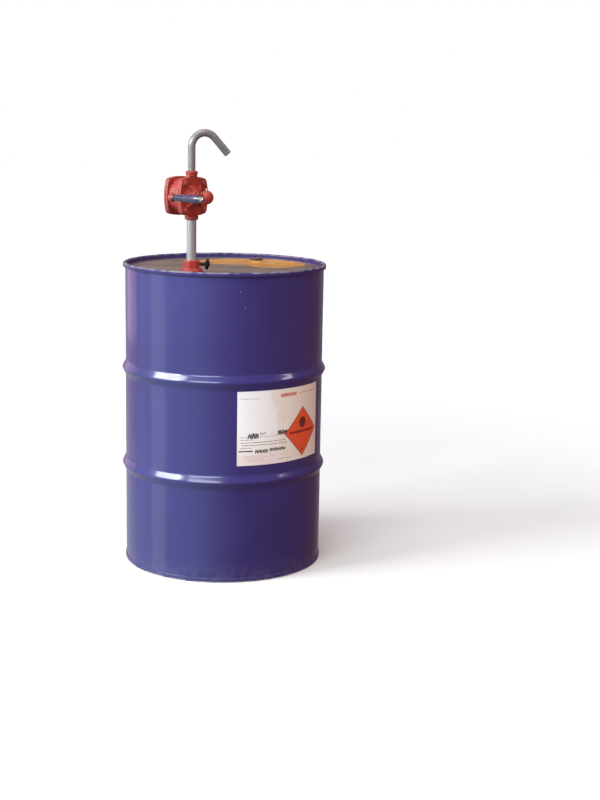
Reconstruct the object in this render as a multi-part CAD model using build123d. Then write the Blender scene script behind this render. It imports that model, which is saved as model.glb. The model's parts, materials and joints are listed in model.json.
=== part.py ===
from build123d import *
from math import cos, sin, radians, pi
import os

# Closed-head steel drum with a rotary hand pump standing in its large bung.
# Millimetres, +Z up, origin on the drum's axis at the level it stands on, pump on the -Y side.

# ---- drum ----
drum_height = 875.0            # overall, chime to chime
shell_radius = 286.9           # outside of the body, 571.5 mm inside diameter
sheet = 1.2                    # body and head sheet thickness
hoop_heights = (289.0, 571.0)  # centres of the two rolling hoops
hoop_rise = 9.6                # how far a hoop stands out of the body
hoop_half_width = 20.0
hoop_corner = 11.2             # corner of the hoop's outline before it is rounded to hoop_rise
hoop_peak_radius = 11.0
hoop_foot_radius = 14.0
head_recess = 17.0             # head panel below the chime's top
chime_inner = 283.6            # inside of the seam
top_chime_radius = 293.4
top_chime_depth = 13.0
bottom_chime_radius = 289.2
bottom_chime_depth = 12.5
seam_gap = 0.1                 # between the shell's edge and the seam that folds round it

# ---- closures in the top head ----
pump_bung_radius, pump_bung_heading = 207.0, -113.5
vent_bung_radius, vent_bung_heading = 211.0, 66.5
large_thread_radius = 29.8     # G2
small_thread_radius = 13.2     # G3/4
flange_rise = 5.5              # bung neck above the head panel
flange_base = 5.0
closure_gasket = 1.5
cap_gasket = 2.0
thread_play = 0.08

# ---- paper label on the body ----
label_width, label_height = 297.0, 210.0
label_middle_heading, label_middle_height = -49.9, 442.0
paper = 0.3

# ---- bung adapter with its clamp screw ----
adapter_flange_radius = 31.0
adapter_flange_height = 9.5
adapter_body_flats = 44.0
adapter_body_height = 23.0
nipple_length = 17.0
clamp_heading = 12.0
clamp_tilt = 30.0              # of the tee bar, off vertical
clamp_thread_radius = 5.0
clamp_reach = 44.0             # pump tube's axis to tee bar
tee_bar_length, tee_bar_radius = 34.0, 4.6
pad_thickness = 2.5

# ---- suction tube ----
tube_radius, tube_bore = 13.45, 11.15
tube_top = 1018.5
tube_joint = 460.0
tube_foot = 80.0
coupling_radius, coupling_length = 17.0, 50.0
foot_radius, foot_bottom, foot_top = 20.0, 45.0, 102.0
foot_chamber_radius = 16.0
valve_seat_height = 57.0
valve_disc_radius, valve_disc_thickness = 12.5, 3.0

# ---- pump head: x to the right of the cover, y up, z out along the shaft ----
pump_heading = -40.5           # of the shaft
shaft_height = 1073.0
cover_size, cover_corner = 93.0, 14.0
cover_bow = 6.6                # how far each side of a cover is bowed out at its middle
cover_face = 14.0              # front face of the cover plate ahead of the tube's axis
cover_plate = 7.0
pump_gasket = 0.8
housing_length = 49.4
housing_flange = 6.0
housing_radius = 48.5
chamber_radius = 38.0
chamber_x = -3.0               # chamber and cover centre, left of the tube's axis
shaft_x = -9.0                 # rotor and shaft centre, so the rotor runs off centre
shaft_radius = 7.0
bearing_play = 0.05
bush_radius = 9.9
rotor_radius = 31.0
rotor_play = 0.2
vane_count, vane_thickness = 4, 5.0
vane_slot_bottom = 12.5
vane_inner, vane_outer = 15.2, 30.7
key_width = 4.0
screw_offset = 36.5            # cover screws from the cover's centre
screw_radius, screw_flats, screw_head = 4.0, 13.0, 5.5
dome_radius, dome_top = 31.0, 27.0
gland_boss_radius, gland_boss_top = 17.0, 34.0
gland_thread_radius, gland_flats, gland_head = 12.4, 26.0, 6.0
packing_width, packing_height = 12.4, 3.0
port_radius = 7.0
inlet_boss_radius, inlet_boss_end = 19.0, 64.0
inlet_socket_end = 54.2
outlet_neck_radius, outlet_neck_end = 15.5, 66.0
back_boss_radius, back_boss_depth = 16.0, 11.0

# ---- spout ----
spout_heading = 24.0
spout_radius, spout_bore = 10.25, 8.25
spout_foot = 1129.4
bend_radius = 37.6
bend_top = 1244.0
fall_angle = 47.8              # of the free end, below level
spout_free_end = 58.9
spout_nut_radius = 16.6
spout_nut_low, spout_nut_high = 58.0, 68.5

# ---- crank ----
hub_radius, hub_z = 19.0, 66.0
hub_back = 50.0
crank_length, crank_rise = 130.0, 1.6
arm_thickness, arm_end_radius = 10.0, 11.0
pin_radius = 4.0
grip_length = 97.0
grip_low = 74.4                # inner end of the grip along the shaft
grip_play = 0.08
washer_thickness = 1.5


def polar(radius, heading):
    return radius * cos(radians(heading)), radius * sin(radians(heading))


tube_x, tube_y = polar(pump_bung_radius, pump_bung_heading)
vent_x, vent_y = polar(vent_bung_radius, vent_bung_heading)
head_top = drum_height - head_recess
neck_top = head_top + flange_rise
adapter_low = neck_top + cap_gasket
adapter_mid = adapter_low + adapter_flange_height
adapter_top = adapter_mid + adapter_body_height
clamp_height = adapter_mid + 0.5 * adapter_body_height
housing_front = cover_face - cover_plate - pump_gasket
housing_back = housing_front - housing_length
back_cover_front = housing_back - pump_gasket
back_cover_back = back_cover_front - cover_plate
chamber_front = cover_face - cover_plate

pump_frame = Plane(
    origin=(tube_x, tube_y, shaft_height),
    x_dir=(sin(radians(-pump_heading)), cos(radians(pump_heading)), 0),
    z_dir=(cos(radians(pump_heading)), sin(radians(pump_heading)), 0),
).location
clamp_frame = Plane(
    origin=(tube_x, tube_y, clamp_height),
    x_dir=(-sin(radians(clamp_heading)), cos(radians(clamp_heading)), 0),
    z_dir=(cos(radians(clamp_heading)), sin(radians(clamp_heading)), 0),
).location
spout_frame = Plane(
    origin=(tube_x, tube_y, 0),
    x_dir=(cos(radians(spout_heading)), sin(radians(spout_heading)), 0),
    z_dir=(sin(radians(spout_heading)), -cos(radians(spout_heading)), 0),
).location
shaft_line = Pos(shaft_x, 0, 0)
crank_turned = Pos(shaft_x, 0, 0) * Rot(0, 0, -crank_rise)
grip_line = crank_turned * Pos(-crank_length, 0, 0)

nodes = {}


def rod(radius, low, high, x=0.0, y=0.0):
    return Pos(x, y, low) * Cylinder(radius, high - low, align=(Align.CENTER, Align.CENTER, Align.MIN))


def ring(outer, inner, low, high, x=0.0, y=0.0):
    return rod(outer, low, high, x, y) - rod(inner, low - 1, high + 1, x, y)


def cone(low_radius, high_radius, low, high, x=0.0, y=0.0):
    shape = Cone(low_radius, high_radius, high - low, align=(Align.CENTER, Align.CENTER, Align.MIN))
    return Pos(x, y, low) * shape


def prism(flats, sides, low, high, turn=0.0):
    outline = Rot(0, 0, turn) * RegularPolygon(0.5 * flats, sides, major_radius=False)
    return Pos(0, 0, low) * extrude(outline, amount=high - low)


def upright(radius, low, high, x=0.0, z=0.0):
    # a rod along the pump head's y, which is up
    return Rot(-90, 0, 0) * rod(radius, low, high, x, -z)


def strut(radius, start, end):
    start, end = Vector(*start), Vector(*end)
    lie = Plane(origin=start, z_dir=end - start).location
    return lie * rod(radius, 0, (end - start).length)


def spun(points, rounded=()):
    # a closed outline of (radius, height) turned round the Z axis; rounded holds (corner index, radius)
    face = make_face(Polyline(*[(r, z) for r, z in points], close=True))
    for corner, radius in rounded:
        r, z = points[corner]
        near = face.vertices().sort_by_distance((r, z, 0))[0]
        face = fillet(near, radius)
    return revolve(Plane.XZ * face, axis=Axis.Z)


# ---------------------------------------------------------------- drum

def wall_line(radius):
    # one side of the body wall from bottom to top, with both hoops
    low, high = seam_gap + 4.0, drum_height - 4.0 - seam_gap
    points, radii = [(radius, low)], []
    for height in hoop_heights:
        points += [(radius, height - hoop_half_width), (radius + hoop_corner, height),
                   (radius, height + hoop_half_width)]
        radii += [hoop_foot_radius, hoop_peak_radius, hoop_foot_radius]
    points.append((radius, high))
    return FilletPolyline(*points, radius=radii)


def drum_shell():
    outer, inner = wall_line(shell_radius), wall_line(shell_radius - sheet)
    ends = [Line(outer @ 0, inner @ 0), Line(outer @ 1, inner @ 1)]
    section = make_face(outer.edges() + inner.edges() + [end.edge() for end in ends])
    return revolve(Plane.XZ * section, axis=Axis.Z)


def drum_head(chime_radius, chime_depth):
    # head panel with the seam at its edge, as it lies at the top of the drum
    inner_leg = shell_radius - sheet - seam_gap
    outer_leg = shell_radius + seam_gap
    fold_top = drum_height - 4.0
    points = [
        (0, head_top - sheet), (inner_leg, head_top - sheet), (inner_leg, fold_top),
        (outer_leg, fold_top), (outer_leg, drum_height - chime_depth),
        (chime_radius, drum_height - chime_depth), (chime_radius, drum_height),
        (chime_inner, drum_height), (chime_inner, head_top), (0, head_top),
    ]
    rim = min(4.4, 0.42 * (chime_radius - chime_inner))
    lip = min(3.0, 0.6 * (chime_radius - outer_leg))
    return spun(points, [(1, 6.0), (8, 5.0), (6, rim), (7, rim), (5, lip)])


def top_head():
    head = drum_head(top_chime_radius, top_chime_depth)
    head -= rod(34.2, head_top - 5, head_top + 5, tube_x, tube_y)
    head -= rod(17.7, head_top - 5, head_top + 5, vent_x, vent_y)
    return head


def bottom_head():
    return Pos(0, 0, drum_height) * Rot(180, 0, 0) * drum_head(bottom_chime_radius, bottom_chime_depth)


def bung_flange(neck_radius, bore, base_radius, x, y):
    under = head_top - sheet - closure_gasket
    neck = rod(neck_radius, under - flange_base, neck_top, x, y)
    base = Pos(x, y, 0) * prism(2 * base_radius, 8, under - flange_base, under)
    return neck + base - rod(bore, under - 20, neck_top + 20, x, y)


def closure_ring(outer, inner, x, y):
    return ring(outer, inner, head_top - sheet - closure_gasket, head_top - sheet, x, y)


def product_label():
    sweep_angle = label_width / (2 * pi * shell_radius) * 360
    low = label_middle_height - 0.5 * label_height
    radius = shell_radius + 0.02
    outline = [(radius, low), (radius + paper, low), (radius + paper, low + label_height),
               (radius, low + label_height)]
    sheet_face = Plane.XZ * make_face(Polyline(*outline, close=True))
    curved = revolve(sheet_face, axis=Axis.Z, revolution_arc=sweep_angle)
    return Rot(0, 0, label_middle_heading - 0.5 * sweep_angle) * curved


nodes["drum_shell"] = drum_shell()
nodes["top_head"] = top_head()
nodes["bottom_head"] = bottom_head()
nodes["bung_flange_large"] = bung_flange(34.0, large_thread_radius + thread_play, 40.0, tube_x, tube_y)
nodes["bung_gasket_large"] = closure_ring(39.5, 34.1, tube_x, tube_y)
nodes["bung_flange_small"] = bung_flange(17.5, small_thread_radius + thread_play, 22.5, vent_x, vent_y)
nodes["bung_gasket_small"] = closure_ring(22.0, 17.6, vent_x, vent_y)
nodes["product_label"] = product_label()


# ---------------------------------------------------------------- vent plug

def vent_plug():
    head_low = neck_top + cap_gasket
    body = rod(small_thread_radius, head_low - 12.0, head_low)
    head = chamfer(rod(18.5, head_low, head_low + 5.0).edges().sort_by(Axis.Z)[-1], 1.2)
    pocket = rod(9.5, head_low - 6.0, head_low + 6.0)
    lugs = Pos(0, 0, head_low - 2.0) * (Box(19, 3.2, 6.0) - Box(9, 4, 7))
    return Pos(vent_x, vent_y, 0) * (body + head - pocket + lugs)


nodes["vent_plug"] = vent_plug()
nodes["vent_gasket"] = ring(18.0, small_thread_radius + 0.1, neck_top + 0.02,
                            neck_top + cap_gasket - 0.02, vent_x, vent_y)


# ---------------------------------------------------------------- bung adapter

seal_low, seal_high = adapter_low - 3.0, adapter_low + 7.0


def bung_adapter():
    nipple = rod(large_thread_radius, adapter_low - nipple_length, adapter_low)
    flange = rod(adapter_flange_radius, adapter_low, adapter_mid)
    flange = chamfer(flange.edges().sort_by(Axis.Z)[-1], 3.5)
    body = prism(adapter_body_flats, 8, adapter_mid - 1, adapter_top, clamp_heading + 22.5)
    body = chamfer(body.edges().group_by(Axis.Z)[-1], 2.0)
    shape = nipple + flange + body
    shape -= rod(tube_radius + thread_play, adapter_low - 40, adapter_top + 1)
    shape -= rod(17.5, adapter_low - 40, seal_high + 0.1)
    shape = Pos(tube_x, tube_y, 0) * shape
    return shape - clamp_frame * rod(clamp_thread_radius + 0.05, 10, 40)


def clamp_screw():
    tip = tube_radius + 0.15 + pad_thickness + 0.05
    stem = rod(clamp_thread_radius, tip, clamp_reach + 6)
    collar = chamfer(rod(7.2, clamp_reach - 6.5, clamp_reach + 7).edges(), 1.2)
    cross_hole = Rot(0, 0, clamp_tilt) * (Rot(0, 90, 0) * rod(tee_bar_radius + 0.05, -20, 20))
    cross_hole = Pos(0, 0, clamp_reach) * cross_hole
    return clamp_frame * Rot(0, 0, 90) * (stem + collar - cross_hole)


def clamp_tee_bar():
    bar = Rot(0, 90, 0) * rod(tee_bar_radius, -0.5 * tee_bar_length, 0.5 * tee_bar_length)
    bar = chamfer(bar.edges(), 1.4)
    return clamp_frame * Rot(0, 0, 90) * Pos(0, 0, clamp_reach) * Rot(0, 0, clamp_tilt) * bar


nodes["bung_adapter"] = bung_adapter()
nodes["adapter_gasket"] = ring(33.4, large_thread_radius + thread_play, neck_top, adapter_low, tube_x, tube_y)
nodes["seal_retaining_ring"] = ring(17.45, 14.2, seal_low - 1.6, seal_low - 0.1, tube_x, tube_y)
nodes["pipe_seal_ring"] = ring(17.42, tube_radius + thread_play, seal_low, seal_high, tube_x, tube_y)
nodes["clamp_pad"] = clamp_frame * rod(4.9, tube_radius + 0.15, tube_radius + 0.15 + pad_thickness)
nodes["clamp_screw"] = clamp_screw()
nodes["clamp_tee_bar"] = clamp_tee_bar()


# ---------------------------------------------------------------- suction tube

def foot_valve_body():
    shape = chamfer(rod(foot_radius, foot_bottom, foot_top).edges().sort_by(Axis.Z)[-1], 2.0)
    shape -= rod(foot_chamber_radius, foot_bottom + 3, tube_foot - 1)
    shape -= rod(tube_radius + 0.05, tube_foot - 2, foot_top + 1)
    slot = Pos(0.8 * foot_radius, 0, 0.5 * (foot_bottom + valve_seat_height) + 1) * Box(20, 4.5, 6.5)
    for turn in range(0, 360, 45):
        shape -= Rot(0, 0, turn) * slot
    return Pos(tube_x, tube_y, 0) * shape


def foot_valve_disc():
    low = valve_seat_height + 3.05
    disc = rod(valve_disc_radius, low, low + valve_disc_thickness)
    guide = rod(4.0, low + valve_disc_thickness, low + valve_disc_thickness + 4)
    return Pos(tube_x, tube_y, 0) * (disc + guide)


def tube_coupling():
    low, high = tube_joint - 0.5 * coupling_length, tube_joint + 0.5 * coupling_length
    sleeve = chamfer(rod(coupling_radius, low, high).edges(), 1.5)
    sleeve -= rod(tube_bore, low - 1, high + 1)
    sleeve -= rod(tube_radius + 0.05, low - 1, tube_joint - 1.5)
    sleeve -= rod(tube_radius + 0.05, tube_joint + 1.5, high + 1)
    return Pos(tube_x, tube_y, 0) * sleeve


nodes["upper_suction_tube"] = ring(tube_radius, tube_bore, tube_joint + 1.6, tube_top, tube_x, tube_y)
nodes["tube_coupling"] = tube_coupling()
nodes["lower_suction_tube"] = ring(tube_radius, tube_bore, tube_foot, tube_joint - 1.6, tube_x, tube_y)
nodes["foot_valve_body"] = foot_valve_body()
nodes["foot_valve_seat"] = ring(foot_chamber_radius - 0.05, 9.0, valve_seat_height,
                                valve_seat_height + 3, tube_x, tube_y)
nodes["foot_valve_disc"] = foot_valve_disc()


# ---------------------------------------------------------------- pump head

def cover_outline(size):
    # a square with bowed sides and rounded corners
    half = 0.5 * size
    middle = half + cover_bow
    corners = [(half, half), (-half, half), (-half, -half), (half, -half)]
    middles = [(0, middle), (-middle, 0), (0, -middle), (middle, 0)]
    sides = [ThreePointArc(corners[n], middles[n], corners[(n + 1) % 4]) for n in range(4)]
    outline = make_face(sides)
    return fillet(outline.vertices(), cover_corner)


def square_plate(low, high):
    return Pos(chamber_x, 0, low) * extrude(cover_outline(cover_size), amount=high - low)


def at_screws(shape):
    places = [(x * screw_offset, y * screw_offset) for x in (-1, 1) for y in (-1, 1)]
    return [Pos(chamber_x + x, y, 0) * shape for x, y in places]


def drilled(shape, low, high):
    for hole in at_screws(rod(screw_radius + 0.1, low, high)):
        shape -= hole
    return shape


def outlet_boss():
    neck = upright(outlet_neck_radius, 30, outlet_neck_end)
    flare = Rot(-90, 0, 0) * cone(27.0, outlet_neck_radius, 36, 55)
    return neck + flare


def inlet_boss():
    boss = upright(inlet_boss_radius, -inlet_boss_end, -30)
    return chamfer(boss.edges().sort_by(Axis.Y)[0], 2.0)


def pump_housing():
    body = rod(housing_radius, housing_back, housing_front, chamber_x)
    bosses = outlet_boss() + inlet_boss()
    half = 0.5 * cover_size + cover_bow + 0.8
    cover_space = Pos(0, 0, housing_front + 25) * Box(200, 2 * half, 50)
    back_space = Pos(0, 0, housing_back - 25) * Box(200, 200, 50)
    shape = body + (bosses - cover_space - back_space)
    shape += square_plate(housing_front - housing_flange, housing_front)
    shape += square_plate(housing_back, housing_back + housing_flange)
    shape -= rod(chamber_radius, housing_back - 1, housing_front + 1, chamber_x)
    shape -= upright(tube_radius + 0.05, -inlet_boss_end - 1, -inlet_socket_end)
    shape -= upright(spout_radius + bearing_play, spout_foot - shaft_height - 0.4, outlet_neck_end + 1)
    shape -= upright(12.2, outlet_neck_end - 3.2, outlet_neck_end + 1)
    shape -= strut(port_radius, (0, 61, 0), (0, 32, -15))
    shape -= strut(port_radius, (0, -60, 0), (0, -32, -15))
    return pump_frame * drilled(shape, housing_back - 1, housing_front + 1)


def front_cover():
    dome = cone(dome_radius, gland_boss_radius, cover_face, dome_top)
    boss = rod(gland_boss_radius, cover_face, gland_boss_top)
    rib_profile = Polyline((0, gland_boss_top - 3), (0, cover_face - 1), (46, cover_face - 1),
                           (44, cover_face + 2), (16, gland_boss_top - 3), close=True)
    rib = extrude(Plane.XZ * make_face(rib_profile), amount=2.4, both=True)
    ribs = [Rot(0, 0, turn) * rib for turn in (42, 128, 232, 318)]
    raised = shaft_line * (dome + boss + ribs)
    inside = Pos(chamber_x, 0, cover_face - 1) * extrude(cover_outline(cover_size - 4), amount=60)
    shape = square_plate(chamber_front, cover_face) + (raised & inside)
    bores = rod(bush_radius + 0.05, chamber_front - 1, 22.5) + rod(shaft_radius + 0.4, 22, 26)
    bores += rod(packing_width + 0.1, 25, gland_boss_top + 1)
    shape -= shaft_line * bores
    for seat in at_screws(rod(9.5, cover_face, cover_face + 40)):
        shape -= seat
    return pump_frame * drilled(shape, chamber_front - 1, cover_face + 1)


def back_cover():
    boss = cone(back_boss_radius - 2, back_boss_radius + 2, back_cover_back - back_boss_depth, back_cover_back)
    shape = square_plate(back_cover_back, back_cover_front) + shaft_line * boss
    shape -= shaft_line * rod(bush_radius + 0.05, back_cover_back - back_boss_depth + 3, back_cover_front + 1)
    return pump_frame * drilled(shape, back_cover_back - 1, back_cover_front + 1)


def cover_gasket(low):
    plate = square_plate(low, low + pump_gasket) - rod(chamber_radius, low - 1, low + 2, chamber_x)
    return pump_frame * drilled(plate, low - 1, low + 2)


def cover_screws(face, outward, length):
    # hexagon head on the cover's face, shank into the housing flange
    head = prism(screw_flats, 6, 0, screw_head, 15)
    head = chamfer(head.edges().group_by(Axis.Z)[-1], 0.8)
    screw = head + rod(screw_radius, -length, 0.5)
    turned = Pos(0, 0, face) * (Rot(0, 0, 0) if outward > 0 else Rot(180, 0, 0)) * screw
    return pump_frame * Compound(at_screws(turned))


def packing_rings():
    rings = [ring(packing_width, shaft_radius + bearing_play, low, low + packing_height - 0.1)
             for low in (25.05, 25.05 + packing_height)]
    return pump_frame * shaft_line * Compound(rings)


def gland_nut():
    nut = rod(gland_thread_radius, 25.1 + 2 * packing_height, gland_boss_top + 0.5)
    head = prism(gland_flats, 6, gland_boss_top + 0.3, gland_boss_top + 0.3 + gland_head, 10)
    nut += chamfer(head.edges().group_by(Axis.Z)[-1], 1.2)
    return pump_frame * shaft_line * (nut - rod(shaft_radius + bearing_play, 0, 80))


def bush(low, high):
    return pump_frame * shaft_line * ring(bush_radius, shaft_radius + bearing_play, low, high)


nodes["pump_housing"] = pump_housing()
nodes["front_cover"] = front_cover()
nodes["front_cover_gasket"] = cover_gasket(housing_front)
nodes["front_cover_screws"] = cover_screws(cover_face, 1, 14.5)
nodes["front_bush"] = bush(chamber_front + 0.1, 22.3)
nodes["packing_rings"] = packing_rings()
nodes["gland_nut"] = gland_nut()
nodes["back_cover"] = back_cover()
nodes["back_cover_gasket"] = cover_gasket(back_cover_front)
nodes["back_cover_screws"] = cover_screws(back_cover_back, -1, 14.5)
nodes["back_bush"] = bush(back_cover_back - back_boss_depth + 3.1, back_cover_front - 0.1)


# ---------------------------------------------------------------- rotor

rotor_low, rotor_high = back_cover_front + rotor_play, chamber_front - rotor_play
vane_turns = [45 + 360 / vane_count * n for n in range(vane_count)]


def key_bar(low, high, play):
    return Pos(0, shaft_radius, 0.5 * (low + high)) * Box(key_width + play, 4.0 + play, high - low)


def rotor():
    shape = ring(rotor_radius, shaft_radius, rotor_low, rotor_high)
    depth = rotor_radius + 1 - vane_slot_bottom
    middle = 0.5 * (rotor_radius + 1 + vane_slot_bottom)
    slot = Pos(middle, 0, 0) * Box(depth, vane_thickness + 0.1, 200)
    for turn in vane_turns:
        shape -= Rot(0, 0, turn) * slot
    return pump_frame * shaft_line * (shape - key_bar(rotor_low - 1, rotor_high + 1, 0.02))


def rotor_vanes():
    blade = Box(vane_outer - vane_inner, vane_thickness, rotor_high - rotor_low)
    blade = Pos(0.5 * (vane_inner + vane_outer), 0, 0.5 * (rotor_low + rotor_high)) * blade
    return pump_frame * shaft_line * Compound([Rot(0, 0, turn) * blade for turn in vane_turns])


def vane_springs():
    # a bowed strip behind each vane
    low, high, middle = rotor_low + 5, rotor_high - 5, 0.5 * (rotor_low + rotor_high)
    back, front = vane_slot_bottom + 0.1, vane_inner - 0.1
    outer = ThreePointArc((back + 0.4, low), (front, middle), (back + 0.4, high))
    inner = ThreePointArc((back, low), (front - 0.4, middle), (back, high))
    ends = [Line(outer @ 0, inner @ 0), Line(outer @ 1, inner @ 1)]
    strip = make_face([outer.edge(), inner.edge()] + [end.edge() for end in ends])
    spring = extrude(Plane.XZ * strip, amount=2.0, both=True)
    return pump_frame * shaft_line * Compound([Rot(0, 0, turn) * spring for turn in vane_turns])


def rotor_shaft():
    low = back_cover_back - back_boss_depth + 3.6
    shaft = chamfer(rod(shaft_radius, low, hub_z + 12).edges(), 0.8)
    return pump_frame * shaft_line * (shaft - key_bar(rotor_low + 6, rotor_high - 6, 0.02))


nodes["rotor"] = rotor()
nodes["rotor_vanes"] = rotor_vanes()
nodes["vane_springs"] = vane_springs()
nodes["rotor_shaft"] = rotor_shaft()
nodes["rotor_key"] = pump_frame * shaft_line * key_bar(rotor_low + 6.1, rotor_high - 6.1, -0.02)


# ---------------------------------------------------------------- crank and grip

arm_back, arm_front = hub_z - 0.5 * arm_thickness, hub_z + 0.5 * arm_thickness


def crank_arm():
    hub = Pos(0, 0, hub_z) * Sphere(hub_radius)
    hub -= Pos(0, 0, hub_back - 20) * Box(60, 60, 40)
    web = make_face(Polyline((0, 10.5), (-crank_length, 7.0), (-crank_length, -7.0), (0, -10.5), close=True))
    web = Pos(0, 0, arm_back) * extrude(web, amount=arm_thickness)
    web = fillet(web.edges().filter_by(Axis.Z, reverse=True).filter_by(
        lambda edge: edge.length > 100), 2.5)
    boss = chamfer(rod(arm_end_radius, arm_back - 1, arm_front + 1, -crank_length).edges(), 1.2)
    shape = hub + web + boss
    shape -= rod(shaft_radius, 0, hub_z + 12.2)
    shape -= rod(pin_radius, 0, 200, -crank_length)
    shape -= upright(3.5, 0, 30, 0, hub_z)
    return pump_frame * crank_turned * shape


def crank_set_screw():
    screw = upright(3.45, shaft_radius + 0.1, hub_radius + 4.5, 0, hub_z)
    socket = upright(1.8, hub_radius + 1.5, hub_radius + 6, 0, hub_z)
    return pump_frame * crank_turned * (screw - socket)


def grip_pin():
    pin = rod(pin_radius - 0.02, arm_back - 2, grip_low + grip_length + 9.0)
    peened = chamfer(rod(6.0, arm_back - 3.5, arm_back - 1.05).edges().sort_by(Axis.Z)[0], 1.2)
    return pump_frame * grip_line * (pin + peened)


def crank_grip():
    bore = pin_radius + grip_play
    side = Line((7.0, 0), (8.0, 3.0))
    body = ThreePointArc(side @ 1, (10.1, 42.0), (11.3, 78.0))
    nose = ThreePointArc(body @ 1, (10.3, 91.0), (7.6, grip_length))
    close = Polyline(nose @ 1, (bore, grip_length), (bore, 0), (7.0, 0))
    outline = make_face(side.edges() + body.edges() + nose.edges() + close.edges())
    return pump_frame * grip_line * Pos(0, 0, grip_low) * revolve(Plane.XZ * outline, axis=Axis.Z)


def grip_nut():
    low = grip_low + grip_length + 0.3 + washer_thickness
    nut = chamfer(prism(12.0, 6, low, low + 5.5, 8).edges().group_by(Axis.Z)[-1], 0.8)
    dome = Pos(0, 0, low + 5.0) * Sphere(5.0) & rod(8, low + 5.0, low + 20)
    return pump_frame * grip_line * (nut + dome - rod(pin_radius, 0, grip_low + grip_length + 9.2))


def grip_washer(low):
    return pump_frame * grip_line * ring(8.2, pin_radius, low, low + washer_thickness)


nodes["crank_arm"] = crank_arm()
nodes["crank_set_screw"] = crank_set_screw()
nodes["grip_pin"] = grip_pin()
nodes["grip_inner_washer"] = grip_washer(grip_low - 0.3 - washer_thickness)
nodes["crank_grip"] = crank_grip()
nodes["grip_outer_washer"] = grip_washer(grip_low + grip_length + 0.3)
nodes["grip_nut"] = grip_nut()


# ---------------------------------------------------------------- spout

def spout():
    bend_low = bend_top - bend_radius
    turn = 90 + fall_angle
    rise = Line((0, spout_foot), (0, bend_low))
    bend = CenterArc((bend_radius, bend_low), bend_radius, 180, -turn)
    tip = bend @ 1 + Vector(sin(radians(turn)), cos(radians(turn))) * spout_free_end
    path = spout_frame * Wire([rise.edge(), bend.edge(), Line(bend @ 1, tip).edge()])
    start = Plane(origin=path @ 0, z_dir=path % 0)
    return sweep(start * (Circle(spout_radius) - Circle(spout_bore)), path=path)


def spout_nut():
    nut = chamfer(upright(spout_nut_radius, spout_nut_low, spout_nut_high).edges(), 2.2)
    nut -= upright(outlet_neck_radius + 0.1, spout_nut_low - 1, outlet_neck_end + 0.1)
    return pump_frame * (nut - upright(spout_radius + bearing_play, 0, 80))


def spout_seal_ring():
    outer = upright(12.1, outlet_neck_end - 3.1, outlet_neck_end)
    return pump_frame * (outer - upright(spout_radius + bearing_play, 0, 80))


nodes["spout"] = spout()
nodes["spout_nut"] = spout_nut()
nodes["spout_seal_ring"] = spout_seal_ring()

os.makedirs("parts", exist_ok=True)
for name, shape in nodes.items():
    export_step(shape, f"parts/{name}.step")
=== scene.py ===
import bmesh
import json
import math
import bpy
from mathutils import Matrix, Vector


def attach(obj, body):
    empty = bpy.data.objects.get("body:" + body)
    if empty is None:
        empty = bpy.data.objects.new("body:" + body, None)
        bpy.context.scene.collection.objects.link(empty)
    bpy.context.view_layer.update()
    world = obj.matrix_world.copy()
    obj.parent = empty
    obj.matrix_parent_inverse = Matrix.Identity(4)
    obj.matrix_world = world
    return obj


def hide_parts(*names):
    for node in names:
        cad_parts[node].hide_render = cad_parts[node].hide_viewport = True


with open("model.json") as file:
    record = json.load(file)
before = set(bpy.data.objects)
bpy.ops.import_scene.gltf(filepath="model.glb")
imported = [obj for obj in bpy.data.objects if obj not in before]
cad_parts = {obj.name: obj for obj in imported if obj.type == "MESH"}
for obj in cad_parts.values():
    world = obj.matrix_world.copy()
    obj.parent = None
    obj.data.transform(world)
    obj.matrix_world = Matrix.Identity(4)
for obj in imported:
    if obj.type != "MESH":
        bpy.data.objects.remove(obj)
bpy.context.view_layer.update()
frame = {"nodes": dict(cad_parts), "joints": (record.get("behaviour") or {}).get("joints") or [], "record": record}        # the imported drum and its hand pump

# Steel drum with a rotary hand pump. Pieces are made in millimetres on their own bench and then
# carried to the drum's frame, which is in metres.
mm = 0.001
print("frame loaded")


# where things sit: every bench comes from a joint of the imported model
jointOf = {joint["name"]: joint for joint in frame["joints"]}


def jointPoint(name):
    return Vector(jointOf[name]["pos_m"]) / mm


def bench(origin, x=Vector((1, 0, 0)), y=Vector((0, 1, 0)), z=Vector((0, 0, 1))):
    turn = Matrix((x, y, z)).transposed().to_4x4()
    return Matrix.Translation(origin * mm) @ turn @ Matrix.Scale(mm, 4)


def span(node, onBench):
    # lowest and highest corner of a CAD node, in a bench's millimetres
    back = onBench.inverted()
    spots = [back @ vertex.co for vertex in frame["nodes"][node].data.vertices]
    low = Vector([min(spot[k] for spot in spots) for k in range(3)])
    return low, Vector([max(spot[k] for spot in spots) for k in range(3)])


upward = Vector((0, 0, 1))
drumBench = bench(Vector((0, 0, 0)))
tubePoint = jointPoint("pump_swivel")
ventPoint = jointPoint("vent_turn")
shaftWay = Vector(jointOf["crank_turn"]["axis"]).normalized()
shaftPoint = jointPoint("crank_turn")
tubeBench = bench(Vector((tubePoint.x, tubePoint.y, 0)))
ventBench = bench(Vector((ventPoint.x, ventPoint.y, 0)))
pumpBench = bench(Vector((tubePoint.x, tubePoint.y, shaftPoint.z)), upward.cross(shaftWay), upward, shaftWay)
shaftSpot = pumpBench.inverted() @ (shaftPoint * mm)
gripSpot = pumpBench.inverted() @ (jointPoint("grip_spin") * mm)


def besideShaft(spot):
    return pumpBench @ Matrix.Translation((spot.x, spot.y, 0))


# small helpers for node trees, finishes and meshes
def wire(tree, kind, settings=None, inputs=None):
    # one node with its settings and what is plugged into it
    node = tree.nodes.new(kind)
    for key, value in (settings or {}).items():
        setattr(node, key, value)
    for key, value in (inputs or {}).items():
        if isinstance(value, bpy.types.Node):
            value = value.outputs[0]
        if isinstance(value, bpy.types.NodeSocket):
            tree.links.new(value, node.inputs[key])
        else:
            node.inputs[key].default_value = value
    return node


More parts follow.
